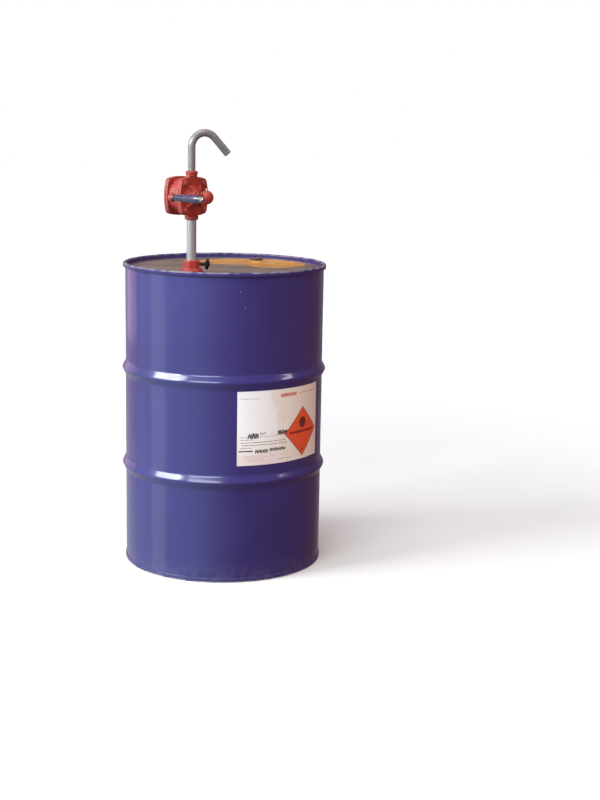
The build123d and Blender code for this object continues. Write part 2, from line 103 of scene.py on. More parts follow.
def calc(tree, operation, *values):
    return wire(tree, "ShaderNodeMath", {"operation": operation}, dict(enumerate(values))).outputs[0]


def join(tree, x, y, z):
    return wire(tree, "ShaderNodeCombineXYZ", None, {0: x, 1: y, 2: z}).outputs[0]


def split(tree, vector):
    return wire(tree, "ShaderNodeSeparateXYZ", None, {0: vector}).outputs


def band(tree, value, low, high, toLow=0.0, toHigh=1.0):
    # a soft step of a value between two limits
    return wire(tree, "ShaderNodeMapRange", {"interpolation_type": "SMOOTHSTEP"},
                {0: value, 1: low, 2: high, 3: toLow, 4: toHigh}).outputs[0]


def blend(tree, factor, first, second):
    # one colour going over to another
    def rgba(value):
        return (*value, 1.0) if isinstance(value, tuple) and len(value) == 3 else value
    return wire(tree, "ShaderNodeMix", {"data_type": "RGBA"},
                {0: factor, 6: rgba(first), 7: rgba(second)}).outputs[2]


class Finish:
    # a material in the making; object coordinates are in metres
    def __init__(self, name, **constants):
        self.material = bpy.data.materials.new(name)
        self.material.use_nodes = True
        self.tree = self.material.node_tree
        self.shader = self.tree.nodes["Principled BSDF"]
        self.place = wire(self.tree, "ShaderNodeTexCoord").outputs["Object"]
        for socket, value in constants.items():
            self.shader.inputs[socket.replace("_", " ")].default_value = value

    def noise(self, scale, detail=4.0, roughness=0.55, distortion=0.0, place=None):
        return wire(self.tree, "ShaderNodeTexNoise", None, {
            "Vector": place or self.place, "Scale": scale, "Detail": detail,
            "Roughness": roughness, "Distortion": distortion}).outputs[0]

    def spangle(self, scale):
        # a random grey for each crystal of a zinc coat
        cell = wire(self.tree, "ShaderNodeTexVoronoi", None, {"Vector": self.place, "Scale": scale})
        return wire(self.tree, "ShaderNodeRGBToBW", None, {0: cell.outputs["Color"]}).outputs[0]

    def stretch(self, scale, place=None):
        return wire(self.tree, "ShaderNodeMapping", None,
                    {"Vector": place or self.place, "Scale": scale}).outputs[0]

    def band(self, *values):
        return band(self.tree, *values)

    def calc(self, operation, *values):
        return calc(self.tree, operation, *values)

    def mix(self, factor, first, second):
        return blend(self.tree, factor, first, second)

    def times(self, *values):
        return calc(self.tree, "MULTIPLY", *values)

    def use(self, socket, value):
        self.tree.links.new(value, self.shader.inputs[socket])

    def bump(self, height, depth, under=None):
        inputs = {"Height": height, "Strength": 1.0, "Distance": depth}
        if under is not None:
            inputs["Normal"] = under
        return wire(self.tree, "ShaderNodeBump", None, inputs).outputs[0]


def makeTree(name, inputs):
    # an empty geometry tree with named inputs
    kinds = {float: "NodeSocketFloat", int: "NodeSocketInt"}
    tree = bpy.data.node_groups.new(name, "GeometryNodeTree")
    tree.interface.new_socket("Geometry", in_out="INPUT", socket_type="NodeSocketGeometry")
    for label, value in inputs.items():
        kind = value if isinstance(value, str) else kinds[type(value)]
        socket = tree.interface.new_socket(label, in_out="INPUT", socket_type=kind)
        if not isinstance(value, str):
            socket.default_value = value
    tree.interface.new_socket("Material", in_out="INPUT", socket_type="NodeSocketMaterial")
    tree.interface.new_socket("Geometry", in_out="OUTPUT", socket_type="NodeSocketGeometry")
    return tree, wire(tree, "NodeGroupInput").outputs


def endTree(tree, geometry, entry):
    whole = wire(tree, "GeometryNodeRealizeInstances", None, {0: geometry})
    smooth = wire(tree, "GeometryNodeSetShadeSmooth", None, {"Geometry": whole})
    dressed = wire(tree, "GeometryNodeSetMaterial", None,
                   {"Geometry": smooth, "Material": entry["Material"]})
    wire(tree, "NodeGroupOutput", None, {0: dressed})
    return tree


def newObject(name, mesh):
    piece = bpy.data.objects.new(name, mesh)
    bpy.context.scene.collection.objects.link(piece)
    return piece


def flatten(piece):
    # live modifiers become plain mesh
    graph = bpy.context.evaluated_depsgraph_get()
    mesh = bpy.data.meshes.new_from_object(piece.evaluated_get(graph))
    piece.modifiers.clear()
    piece.data = mesh
    return piece


def grow(name, tree, values, material, start=None):
    # runs a geometry tree and keeps its plain mesh
    piece = newObject(name, start or bpy.data.meshes.new(name))
    modifier = piece.modifiers.new("Grow", "NODES")
    modifier.node_group = tree
    given = dict(values, Material=material)
    for item in tree.interface.items_tree:
        if item.in_out == "INPUT" and item.name in given:
            modifier[item.identifier] = given[item.name]
    return flatten(piece)


def stiffen(piece, thickness, easedRim=0.0):
    # a wall behind the outer face, its rims eased where a width is given
    wall = piece.modifiers.new("Wall", "SOLIDIFY")
    wall.thickness = thickness
    wall.offset = -1.0
    wall.use_even_offset = True
    if easedRim:
        soft = piece.modifiers.new("Ease", "BEVEL")
        soft.width = easedRim
        soft.segments = 2
        soft.limit_method = "ANGLE"
        soft.angle_limit = math.radians(40)
    return flatten(piece)


def finishPiece(piece, onBench, body, slot, nodes=(), material=None, sharp=38):
    # the mesh goes to its place, gets its finish and rides on its body
    mesh = piece.data
    mesh.transform(onBench)
    mesh.polygons.foreach_set("use_smooth", [True] * len(mesh.polygons))
    mesh.set_sharp_from_angle(angle=math.radians(sharp))
    if material:
        mesh.materials.clear()
        mesh.materials.append(material)
    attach(piece, body)
    if nodes:
        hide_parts(*nodes)
    return piece


def roundOff(corners, steps=6):
    # (radius, height, corner radius) points to a closed outline with its corners rounded
    outline = []
    for index, (r, z, soft) in enumerate(corners):
        here = Vector((r, z))
        if not soft:
            outline.append(here)
            continue
        back = (Vector(corners[index - 1][:2]) - here).normalized()
        ahead = (Vector(corners[(index + 1) % len(corners)][:2]) - here).normalized()
        half = 0.5 * back.angle(ahead)
        centre = here + (back + ahead).normalized() * (soft / math.sin(half))
        first = here + back * (soft / math.tan(half)) - centre
        last = here + ahead * (soft / math.tan(half)) - centre
        outline += [centre + soft * first.slerp(last, step / steps) for step in range(steps + 1)]
    return outline


def skin(bm, rings, around):
    # faces between closed rings of vertices, the last ring meeting the first
    for index, ring in enumerate(rings):
        above = rings[(index + 1) % len(rings)]
        for k in range(around):
            n = (k + 1) % around
            corners = []
            for vertex in (ring[k], ring[n], above[n], above[k]):
                if vertex not in corners:
                    corners.append(vertex)
            if len(corners) > 2:
                bm.faces.new(corners)


def ringSkin(name, ringsOf, around):
    # ringsOf is a list of functions from angle to (x, y, z), or one point for a pole
    bm = bmesh.new()
    rings = []
    for place in ringsOf:
        if callable(place):
            rings.append([bm.verts.new(place(2 * math.pi * k / around)) for k in range(around)])
        else:
            rings.append([bm.verts.new(place)] * around)
    skin(bm, rings, around)
    return bmeshObject(name, bm)


def bmeshObject(name, bm):
    bmesh.ops.recalc_face_normals(bm, faces=bm.faces)
    mesh = bpy.data.meshes.new(name)
    bm.to_mesh(mesh)
    bm.free()
    return newObject(name, mesh)


def turned(name, corners, around=96, steps=6):
    # a closed outline turned round the bench's Z axis
    def ringAt(r, z):
        if r < 1e-6:
            return (0.0, 0.0, z)
        return lambda angle: (r * math.cos(angle), r * math.sin(angle), z)
    return ringSkin(name, [ringAt(r, z) for r, z in roundOff(corners, steps)], around)


def hexagon(angle, flats, turn):
    # distance from the middle to a hexagon's side, looking along an angle
    inside = (angle - turn + math.pi / 6) % (math.pi / 3) - math.pi / 6
    return 0.5 * flats / math.cos(inside)


def hexHead(name, flats, low, high, bore=0.0, crown=0.94, turn=0.0, collar=0.0):
    # a machined hexagon head or nut, its top corners turned off at a shallow angle
    flat = 0.5 * flats * crown
    fall = math.tan(math.radians(28))

    def side(z):
        return lambda a: (hexagon(a, flats, turn) * math.cos(a), hexagon(a, flats, turn) * math.sin(a), z)

    def shoulder(a):
        r = hexagon(a, flats, turn)
        return (r * math.cos(a), r * math.sin(a), high - (r - flat) * fall)

    def circle(r, z):
        return lambda a: (r * math.cos(a), r * math.sin(a), z)

    def middle(z):
        return circle(bore, z) if bore else (0.0, 0.0, z)

    foot = [side(low)]
    if collar:
        foot = [circle(collar, low), circle(collar, low + 1.0), side(low + 1.0)]
    return ringSkin(name, [middle(low), *foot, shoulder, circle(flat, high), middle(high)], 72)


def merged(piece, others):
    # one mesh out of several pieces
    bm = bmesh.new()
    for part in [piece, *others]:
        bm.from_mesh(part.data)
    bm.to_mesh(piece.data)
    bm.free()
    for part in others:
        bpy.data.objects.remove(part)
    return piece


def cast(name, node, grain, passes):
    # a casting: the CAD shape with every corner run over, as metal leaves a sand mould
    mesh = frame["nodes"][node].data.copy()
    mesh.transform(Matrix.Scale(1 / mm, 4))
    bm = bmesh.new()
    bm.from_mesh(mesh)
    bmesh.ops.remove_doubles(bm, verts=bm.verts, dist=0.002)      # the CAD mesh is loose triangles
    bm.to_mesh(mesh)
    bm.free()
    piece = newObject(name, mesh)
    shell = piece.modifiers.new("Mould", "REMESH")
    shell.mode = "VOXEL"
    shell.voxel_size = grain
    soft = piece.modifiers.new("Run", "SMOOTH")
    soft.factor = 0.5
    soft.iterations = passes
    return flatten(piece)


# finishes; every size in them is in metres
def drumEnamel():
    # stoved blue-violet enamel: thin orange peel, rubbing marks, dust, bare steel where it stands
    look = {"violet": (0.041, 0.034, 0.168), "deep": (0.035, 0.028, 0.142), "dust": (0.24, 0.215, 0.27),
            "bareSteel": (0.42, 0.40, 0.40), "radius": 0.287, "height": 0.875}
    paint = Finish("drumEnamel", Coat_Weight=0.55, Coat_Roughness=0.06, IOR=1.5)
    x, y, z = split(paint.tree, paint.place)
    # rubbing marks run round the drum, so they follow its unrolled skin
    unrolled = join(paint.tree, paint.times(paint.calc("ARCTAN2", y, x), look["radius"]), z, 0.0)
    rubbed = paint.stretch((3.0, 60.0, 1.0), unrolled)
    scrapes = paint.band(paint.noise(26.0, 3, 0.5, 0.3, rubbed), 0.70, 0.78)
    scrapes = paint.times(scrapes, paint.band(paint.noise(7.0, 1), 0.42, 0.62))
    clouds = paint.noise(3.2, 4, 0.6)
    colour = paint.mix(paint.band(clouds, 0.35, 0.70), look["violet"], look["deep"])
    colour = paint.mix(paint.times(scrapes, 0.10), colour, look["dust"])
    lowDust = paint.times(paint.band(z, 0.075, 0.0), paint.band(paint.noise(40, 4), 0.3, 0.7))
    colour = paint.mix(paint.times(lowDust, 0.16), colour, look["dust"])
    chips = paint.band(paint.noise(150.0, 5, 0.65), 0.60, 0.66)
    footRing = paint.times(paint.band(z, 0.0045, 0.0015), paint.band(paint.noise(30, 3), 0.38, 0.5))
    topRing = paint.times(paint.band(z, look["height"] - 0.0015, look["height"] - 0.0002), chips)
    bare = paint.calc("MAXIMUM", footRing, paint.times(topRing, 0.8))
    specks = paint.times(paint.band(paint.noise(75.0, 4, 0.6), 0.735, 0.755), 0.75)
    bare = paint.calc("MAXIMUM", bare, specks)
    paint.use("Base Color", paint.mix(bare, colour, look["bareSteel"]))
    gloss = paint.band(paint.noise(9.0, 4, 0.6), 0.35, 0.75, 0.19, 0.24)
    paint.use("Roughness", paint.calc("ADD", gloss, paint.times(scrapes, 0.025)))
    swell = paint.bump(paint.noise(5.0, 2, 0.4), 0.0035)
    peel = paint.bump(paint.noise(420.0, 2, 0.5), 0.00005, swell)
    paint.use("Normal", paint.bump(paint.calc("SUBTRACT", 1.0, bare), 0.00008, peel))
    paint.use("Coat Normal", swell)
    return paint.material


def headPaint():
    # dusty enamel on the top head, product spilt and dried round the vent
    look = {"taupe": (0.118, 0.085, 0.066), "worn": (0.170, 0.130, 0.105), "ochre": (0.50, 0.25, 0.050),
            "spill": (0.38, 0.15, 0.022), "violet": (0.072, 0.046, 0.13), "rimViolet": (0.040, 0.030, 0.125),
            "rimWorn": (0.24, 0.215, 0.245), "rimRoughness": 0.25, "rim": 0.2835}
    paint = Finish("headPaint", Specular_IOR_Level=0.25)
    x, y, z = split(paint.tree, paint.place)
    reach = paint.calc("SQRT", paint.calc("ADD", paint.times(x, x), paint.times(y, y)))
    warp = paint.times(paint.calc("SUBTRACT", paint.noise(9.0, 6, 0.62), 0.5), 1.5)
    colour = paint.mix(paint.band(paint.noise(7.0, 7, 0.65), 0.38, 0.62), look["taupe"], look["worn"])
    seen = paint.band(paint.noise(5.0, 5, 0.6, 0.4), 0.56, 0.64)
    colour = paint.mix(paint.times(seen, 0.35), colour, look["violet"])

    def spill(centreX, centreY, halfX, halfY):
        dx = paint.calc("DIVIDE", paint.calc("SUBTRACT", x, centreX), halfX)
        dy = paint.calc("DIVIDE", paint.calc("SUBTRACT", y, centreY), halfY)
        away = paint.calc("ADD", paint.times(dx, dx), paint.times(dy, dy))
        return paint.band(paint.calc("ADD", away, warp), 1.15, 0.85)

    vent = ventPoint * mm
    pool = paint.calc("MAXIMUM", spill(vent.x - 0.02, vent.y - 0.020, 0.165, 0.085),
                      spill(vent.x + 0.06, vent.y - 0.085, 0.085, 0.08))
    stain = paint.mix(paint.band(paint.noise(16.0, 5, 0.6), 0.40, 0.62), look["ochre"], look["spill"])
    colour = paint.mix(paint.times(pool, 0.88), colour, stain)
    scratches = paint.band(paint.noise(90.0, 2, 0.5, 0.0, paint.stretch((1.0, 0.06, 1.0))), 0.66, 0.72)
    colour = paint.mix(paint.times(scratches, 0.35), colour, look["worn"])
    overRim = paint.calc("MAXIMUM", paint.band(reach, look["rim"] - 0.003, look["rim"] + 0.0005),
                         paint.band(z, 0.861, 0.8665))
    rimWear = paint.band(paint.noise(38.0, 5, 0.65), 0.40, 0.56)
    rimWear = paint.times(rimWear, paint.band(z, 0.8690, 0.8742))
    rimColour = paint.mix(paint.times(rimWear, 0.85), look["rimViolet"], look["rimWorn"])
    paint.use("Base Color", paint.mix(overRim, colour, rimColour))
    dull = paint.band(paint.noise(12.0, 5, 0.6), 0.3, 0.7, 0.45, 0.68)
    dull = paint.calc("SUBTRACT", dull, paint.times(pool, 0.12))
    onRim = paint.calc("SUBTRACT", look["rimRoughness"], dull)
    paint.use("Roughness", paint.calc("MULTIPLY_ADD", overRim, onRim, dull))
    rough = paint.bump(paint.noise(60.0, 6, 0.6), 0.0004)
    paint.use("Normal", paint.bump(paint.noise(600.0, 3), 0.00006, rough))
    return paint.material


def pumpRed():
    # red enamel on sand-cast iron, chipped on the corners; painted shade in its hollows and a painted
    # highlight, partly dust, on its convex edges
    look = {"red": (0.35, 0.033, 0.022), "thin": (0.26, 0.022, 0.015), "iron": (0.12, 0.075, 0.065),
            "dust": (0.45, 0.18, 0.14), "corner": (0.16, 0.016, 0.012)}
    paint = Finish("pumpRed", Coat_Weight=0.08, Coat_Roughness=0.25)
    edge = wire(paint.tree, "ShaderNodeNewGeometry").outputs["Pointiness"]
    colour = paint.mix(paint.band(paint.noise(28.0, 5, 0.6), 0.35, 0.68), look["red"], look["thin"])
    # painted shade: hollows and inner corners are painted a darker red
    hollow = paint.band(edge, 0.49, 0.44)
    colour = paint.mix(paint.times(hollow, 0.55), colour, look["corner"])
    worn = paint.calc("ADD", edge, paint.times(paint.noise(140.0, 5, 0.7), 0.22))
    chips = paint.band(worn, 0.672, 0.690)
    specks = paint.band(paint.noise(210.0, 4, 0.6), 0.715, 0.735)
    chips = paint.calc("MAXIMUM", chips, paint.times(specks, 0.8))
    # convex edges painted lighter: partly dust, partly a painted highlight
    bright = paint.band(edge, 0.515, 0.56)
    colour = paint.mix(paint.times(bright, 0.35), colour, look["dust"])
    paint.use("Base Color", paint.mix(chips, colour, look["iron"]))
    gloss = paint.band(paint.noise(60.0, 4, 0.6), 0.3, 0.7, 0.40, 0.58)
    paint.use("Roughness", paint.calc("ADD", gloss, paint.times(chips, 0.3)))
    sand = paint.bump(paint.noise(330.0, 5, 0.6), 0.00045)
    sand = paint.bump(paint.noise(70.0, 3, 0.5), 0.0007, sand)
    paint.use("Normal", paint.bump(paint.calc("SUBTRACT", 1.0, chips), 0.00012, sand))
    return paint.material


def zincTube(name, shade):
    # drawn steel tube, zinc plated: draw lines along it, dull spots and finger marks
    look = {"light": (1.0, 0.985, 0.96), "dark": (0.92, 0.905, 0.89), "finger": (0.6, 0.56, 0.52)}
    look = {part: tuple(shade * c for c in colour) for part, colour in look.items()}
    rustColour = (0.16, 0.075, 0.04)
    paint = Finish(name, Metallic=0.35)
    tone = paint.mix(paint.band(paint.spangle(320.0), 0.2, 0.8), look["light"], look["dark"])
    marks = paint.band(paint.noise(38.0, 6, 0.65), 0.52, 0.72)
    tone = paint.mix(paint.times(marks, 0.28), tone, look["finger"])
    rust = paint.band(paint.noise(95.0, 5, 0.7), 0.69, 0.74)
    paint.use("Base Color", paint.mix(paint.times(rust, 0.6), tone, rustColour))
    draw = paint.noise(900.0, 3, 0.6, 0.0, paint.stretch((1.0, 1.0, 0.02)))
    gloss = paint.band(paint.noise(22.0, 4, 0.6), 0.3, 0.7, 0.30, 0.46)
    paint.use("Roughness", paint.calc("ADD", gloss, paint.times(marks, 0.12)))
    lines = paint.bump(draw, 0.00006)
    paint.use("Normal", paint.bump(paint.noise(120.0, 4), 0.00010, lines))
    return paint.material


def plainMetal(name, bright, dark, rough, grainScale, metallic=1.0, stain=(0.12, 0.08, 0.05), stained=0.35):
    # machined or plated metal with tool marks, tarnish in clouds and small stains
    paint = Finish(name, Metallic=metallic)
    tone = paint.mix(paint.band(paint.noise(grainScale * 0.12, 5, 0.6), 0.35, 0.68), bright, dark)
    spots = paint.band(paint.noise(grainScale * 0.5, 5, 0.68), 0.62, 0.70)
    paint.use("Base Color", paint.mix(paint.times(spots, stained), tone, stain))
    gloss = paint.band(paint.noise(grainScale * 0.3, 4), 0.3, 0.7, rough * 0.8, rough * 1.35)
    paint.use("Roughness", paint.calc("ADD", gloss, paint.times(spots, 0.2)))
    marks = paint.bump(paint.noise(grainScale * 3, 3, 0.6), 0.00004)
    paint.use("Normal", paint.bump(paint.noise(grainScale, 4, 0.6), 0.00008, marks))
    return paint.material


def softGood(name, tone, worn, rough, grainScale, depth=0.00012):
    # rubber, paper and moulded stuff: matt, cloudy, slightly grained
    paint = Finish(name)
    clouds = paint.band(paint.noise(grainScale * 0.15, 5, 0.6), 0.35, 0.70)
    specks = paint.band(paint.noise(grainScale * 2.0, 3, 0.6), 0.60, 0.72)
    colour = paint.mix(clouds, tone, worn)
    paint.use("Base Color", paint.mix(paint.times(specks, 0.4), colour, worn))
    paint.use("Roughness", paint.band(clouds, 0.0, 1.0, rough * 0.9, min(1.0, rough * 1.15)))
    paint.use("Normal", paint.bump(paint.noise(grainScale, 4, 0.6), depth))
    return paint.material


def gripPlastic():
    # glossy dark blue moulded grip: hand polish, fine scratches round it
    look = {"blue": (0.026, 0.022, 0.056), "rubbed": (0.042, 0.035, 0.080), "lint": (0.14, 0.13, 0.17)}
    paint = Finish("gripPlastic", Coat_Weight=0.4, Coat_Roughness=0.10, IOR=1.49)
    clouds = paint.band(paint.noise(60.0, 5, 0.6), 0.35, 0.7)
    colour = paint.mix(clouds, look["blue"], look["rubbed"])
    lint = paint.band(paint.noise(260.0, 5, 0.6), 0.66, 0.72)
    paint.use("Base Color", paint.mix(paint.times(lint, 0.25), colour, look["lint"]))
    paint.use("Roughness", paint.band(paint.noise(90.0, 5, 0.6), 0.3, 0.7, 0.19, 0.26))
    fine = paint.noise(1200.0, 2, 0.5, 0.0, paint.stretch((0.25, 1.0, 1.0)))
    paint.use("Normal", paint.bump(fine, 0.00003, paint.bump(paint.noise(45.0, 2), 0.0003)))
    return paint.material


def labelPaper():
    # coated paper: a glossier clear film on the left part, where the paper is painted white as a painted
    # reflection; cream beyond the film's torn edge, painted darker towards the right and the top as painted
    # shade
    look = {"cream": (0.90, 0.85, 0.76), "shadedPaper": (0.80, 0.72, 0.62), "white": (0.955, 0.945, 0.94),
            "blush": (0.80, 0.60, 0.62), "grime": (0.50, 0.45, 0.38), "fibre": (0.55, 0.52, 0.48)}
    paint = Finish("labelPaper", Coat_Weight=0.18, Coat_Roughness=0.2)
    where = wire(paint.tree, "ShaderNodeUVMap", {"uv_map": "sheet"}).outputs[0]
    across, up, _ = split(paint.tree, where)
    # the film patch has a torn edge and is glossier; the paper under it is painted whiter as a painted
    # reflection
    tear = paint.times(paint.calc("SUBTRACT", paint.noise(14.0, 4, 0.6), 0.5), 0.30)
    topCut = paint.times(paint.band(up, 0.70, 0.98), 0.12)
    filmAndGlare = paint.band(paint.calc("ADD", paint.calc("ADD", across, tear), topCut), 0.435, 0.415)
    # painted shade: the paper goes darker towards the right and the top
    slant = paint.band(paint.calc("ADD", across, paint.times(up, 0.12)), 0.30, 1.05)
    shadedPaper = paint.mix(slant, look["cream"], look["shadedPaper"])
    filmAndGlare = paint.times(filmAndGlare, paint.band(up, 0.18, 0.50, 0.45, 1.0))
    colour = paint.mix(filmAndGlare, shadedPaper, look["white"])
    blush = paint.times(paint.band(up, 0.22, 0.05), paint.band(across, 0.52, 0.30))
    colour = paint.mix(paint.times(blush, 0.45), colour, look["blush"])
    grime = paint.band(paint.noise(24.0, 6, 0.65), 0.55, 0.75)
    colour = paint.mix(paint.times(grime, 0.22), colour, look["grime"])
    fibre = paint.noise(1500.0, 3, 0.6)
    fibres = paint.times(paint.band(fibre, 0.5, 0.75), 0.10)
    paint.use("Base Color", paint.mix(fibres, colour, look["fibre"]))
    paint.use("Roughness", paint.calc("SUBTRACT", 0.62, paint.times(filmAndGlare, 0.30)))
    creases = paint.bump(paint.noise(22.0, 3, 0.5, 0.6), 0.0008)
    step = paint.bump(filmAndGlare, 0.0002, creases)
    paint.use("Normal", paint.bump(fibre, 0.00003, step))
    return paint.material


def ink(name, tone, faded, coverage=0.55):
    # printed or written colour, thin in places
    paint = Finish(name)
    patchy = paint.band(paint.noise(420.0, 4, 0.65), coverage, coverage + 0.18)
    clouds = paint.band(paint.noise(45.0, 4, 0.6), 0.35, 0.75)
    colour = paint.mix(paint.times(clouds, 0.5), tone, faded)
    paint.use("Base Color", paint.mix(patchy, colour, faded))
    paint.use("Roughness", paint.band(clouds, 0.0, 1.0, 0.40, 0.58))
    paint.use("Normal", paint.bump(paint.noise(1500.0, 3), 0.00002))
    return paint.material


finishes = {
    "drum_enamel": drumEnamel(),
    "head_paint": headPaint(),
    "zinc_plate": plainMetal("zincPlate", (0.62, 0.60, 0.55), (0.40, 0.36, 0.30), 0.38, 260.0),
    "rubber": softGood("blackRubber", (0.018, 0.018, 0.019), (0.05, 0.048, 0.046), 0.72, 420.0),
    "label_paper": labelPaper(),
    "pump_red": pumpRed(),
    "spring_steel": plainMetal("springSteel", (0.36, 0.36, 0.37), (0.20, 0.20, 0.22), 0.30, 500.0),
    "bronze": plainMetal("bronze", (0.62, 0.38, 0.17), (0.38, 0.21, 0.09), 0.36, 320.0),
    "black_oxide": plainMetal("blackOxide", (0.020, 0.019, 0.018), (0.055, 0.048, 0.042), 0.42, 380.0, 0.6,
                              (0.12, 0.06, 0.035), 0.4),
    "zinc_tube": zincTube("zincTube", 0.37),
    "cast_iron": plainMetal("castIron", (0.10, 0.095, 0.09), (0.05, 0.045, 0.042), 0.62, 240.0, 0.7),
    "gasket_paper": softGood("gasketPaper", (0.23, 0.17, 0.10), (0.12, 0.085, 0.05), 0.85, 500.0),
    "steel_screws": plainMetal("screwZinc", (0.66, 0.64, 0.60), (0.44, 0.41, 0.36), 0.30, 420.0, 1.0,
                               (0.20, 0.10, 0.05), 0.45),
    "packing": softGood("graphitedYarn", (0.045, 0.045, 0.045), (0.10, 0.095, 0.085), 0.80, 700.0, 0.0003),
    "vane_resin": softGood("vaneResin", (0.20, 0.12, 0.055), (0.13, 0.075, 0.035), 0.50, 520.0),
    "steel_shaft": plainMetal("groundSteel", (0.55, 0.55, 0.56), (0.42, 0.42, 0.43), 0.24, 600.0),
    "grip_plastic": gripPlastic(),
}
inks = {
    "black": ink("inkBlack", (0.022, 0.020, 0.024), (0.10, 0.095, 0.10)),
    "grey": ink("inkGrey", (0.30, 0.28, 0.29), (0.48, 0.45, 0.43)),
    "red": ink("inkRed", (0.60, 0.10, 0.075), (0.72, 0.28, 0.22)),
    "pink": ink("inkPink", (0.72, 0.46, 0.45), (0.78, 0.60, 0.57)),
    "orange": ink("inkOrange", (0.78, 0.100, 0.034), (0.68, 0.105, 0.040), 0.62),
    "brown": ink("inkBrown", (0.13, 0.022, 0.018), (0.22, 0.04, 0.025)),
    "russet": ink("inkRusset", (0.26, 0.026, 0.016), (0.36, 0.045, 0.022)),
}
print("finishes mixed")
for node in frame["nodes"].values():
    for slot in node.material_slots:
        slot.material = finishes[slot.material.name.split(".")[0]]


# drum body: a rolled sheet, its outline a rule of height
drumSizes = {
    "radius": 286.9, "sheet": 1.2, "height": 875.0, "low": 4.1, "high": 870.9,
    "hoops": (289.0, 571.0), "hoopCorner": 11.2, "hoopHalfWidth": 20.0,
    "hoopPeak": 2.9, "hoopFoot": 2.8, "around": 168, "rows": 172, "crowding": 0.78,
    "dentDepth": 0.55, "dentSize": 150.0, "seed": 7,
    "seamHeading": 96.0, "seamWidth": 5.0, "seamRise": 0.35, "seamSheet": 0.5,
}


def rolledSheetTree():
    tree, entry = makeTree("rolledSheet", {
        "Radius": 286.9, "Low": 0.0, "High": 870.0, "First Hoop": 289.0, "Second Hoop": 571.0,
        "Hoop Corner": 11.2, "Hoop Half Width": 20.0, "Hoop Peak": 2.9, "Hoop Foot": 2.8,
        "Row Crowding": 0.7, "Start": 0.0, "Sweep": 360.0, "Columns": 100, "Rows": 100, "Lift": 0.0,
        "Dent Depth": 0.5, "Dent Size": 150.0, "Seed": 1})

    def do(operation, *values):
        return calc(tree, operation, *values)

    grid = wire(tree, "GeometryNodeMeshGrid", None, {
        "Size X": 1.0, "Size Y": 1.0, "Vertices X": entry["Columns"], "Vertices Y": entry["Rows"]})
    across, along, _ = split(tree, wire(tree, "GeometryNodeInputPosition"))
    u, v = do("ADD", across, 0.5), do("ADD", along, 0.5)
    angle = do("RADIANS", do("MULTIPLY_ADD", u, entry["Sweep"], entry["Start"]))
    # rows crowd together at both ends and at the hoops, a third and two thirds up
    wave = do("SINE", do("MULTIPLY", v, 6 * math.pi))
    eased = do("SUBTRACT", v, do("DIVIDE", do("MULTIPLY", wave, entry["Row Crowding"]), 6 * math.pi))
    tall = do("SUBTRACT", entry["High"], entry["Low"])
    z = do("MULTIPLY_ADD", eased, tall, entry["Low"])
    slope = do("DIVIDE", entry["Hoop Corner"], entry["Hoop Half Width"])

    def hoop(height):
        # straight flanks, a rounded peak, a soft foot
        away = do("SUBTRACT", z, height)
        peak = do("MULTIPLY", entry["Hoop Peak"], entry["Hoop Peak"])
        away = do("SQRT", do("ADD", do("MULTIPLY", away, away), peak))
        flank = do("SUBTRACT", entry["Hoop Corner"], do("MULTIPLY", away, slope))
        return do("SMOOTH_MAX", flank, 0.0, entry["Hoop Foot"])

    out = do("ADD", hoop(entry["First Hoop"]), hoop(entry["Second Hoop"]))
    x0, y0 = do("COSINE", angle), do("SINE", angle)
    spot = join(tree, do("MULTIPLY", x0, entry["Radius"]), do("MULTIPLY", y0, entry["Radius"]), z)
    spot = wire(tree, "ShaderNodeVectorMath", {"operation": "SCALE"},
                {0: spot, "Scale": do("DIVIDE", 1.0, entry["Dent Size"])}).outputs[0]
    cloud = wire(tree, "ShaderNodeTexNoise", {"noise_dimensions": "4D"},
                 {"Vector": spot, "W": entry["Seed"], "Scale": 1.0, "Detail": 1.5}).outputs[0]
    # only the cloud's brighter part dents the sheet, and the dents die out towards both chimes
    hollow = do("MAXIMUM", do("MULTIPLY_ADD", cloud, 2.4, -0.9), 0.0)
    dent = do("MULTIPLY", do("MULTIPLY", hollow, hollow), entry["Dent Depth"])
    edgeCalm = do("MINIMUM", do("MULTIPLY", do("MULTIPLY", v, do("SUBTRACT", 1.0, v)), 40.0), 1.0)
    r = do("ADD", do("ADD", entry["Radius"], entry["Lift"]), out)
    r = do("SUBTRACT", r, do("MULTIPLY", dent, edgeCalm))
    rolled = wire(tree, "GeometryNodeSetPosition", None, {
        "Geometry": grid, "Position": join(tree, do("MULTIPLY", x0, r), do("MULTIPLY", y0, r), z)})
    closed = wire(tree, "GeometryNodeMergeByDistance", None, {"Geometry": rolled, "Distance": 0.02})
    return endTree(tree, closed, entry)


def rolledSheet(name, tree, start, sweep, columns, lift):
    s = drumSizes
    return grow(name, tree, {
        "Radius": s["radius"], "Low": s["low"], "High": s["high"], "First Hoop": s["hoops"][0],
        "Second Hoop": s["hoops"][1], "Hoop Corner": s["hoopCorner"], "Hoop Half Width": s["hoopHalfWidth"],
        "Hoop Peak": s["hoopPeak"], "Hoop Foot": s["hoopFoot"], "Row Crowding": s["crowding"],
        "Start": start, "Sweep": sweep, "Columns": columns, "Rows": s["rows"], "Lift": lift,
        "Dent Depth": s["dentDepth"], "Dent Size": s["dentSize"], "Seed": s["seed"],
    }, finishes["drum_enamel"])


def buildBody():
    s = drumSizes
    tree = rolledSheetTree()
    body = stiffen(rolledSheet("bodySheet", tree, 0.0, 360.0, s["around"] + 1, 0.0), s["sheet"])
    finishPiece(body, drumBench, "drum", "drum_enamel", ["drum_shell"])
    turn = math.degrees(s["seamWidth"] / s["radius"])
    seam = rolledSheet("bodyWeld", tree, s["seamHeading"] - 0.5 * turn, turn, 5, s["seamRise"])
    finishPiece(stiffen(seam, s["seamSheet"]), drumBench, "drum", "drum_enamel")


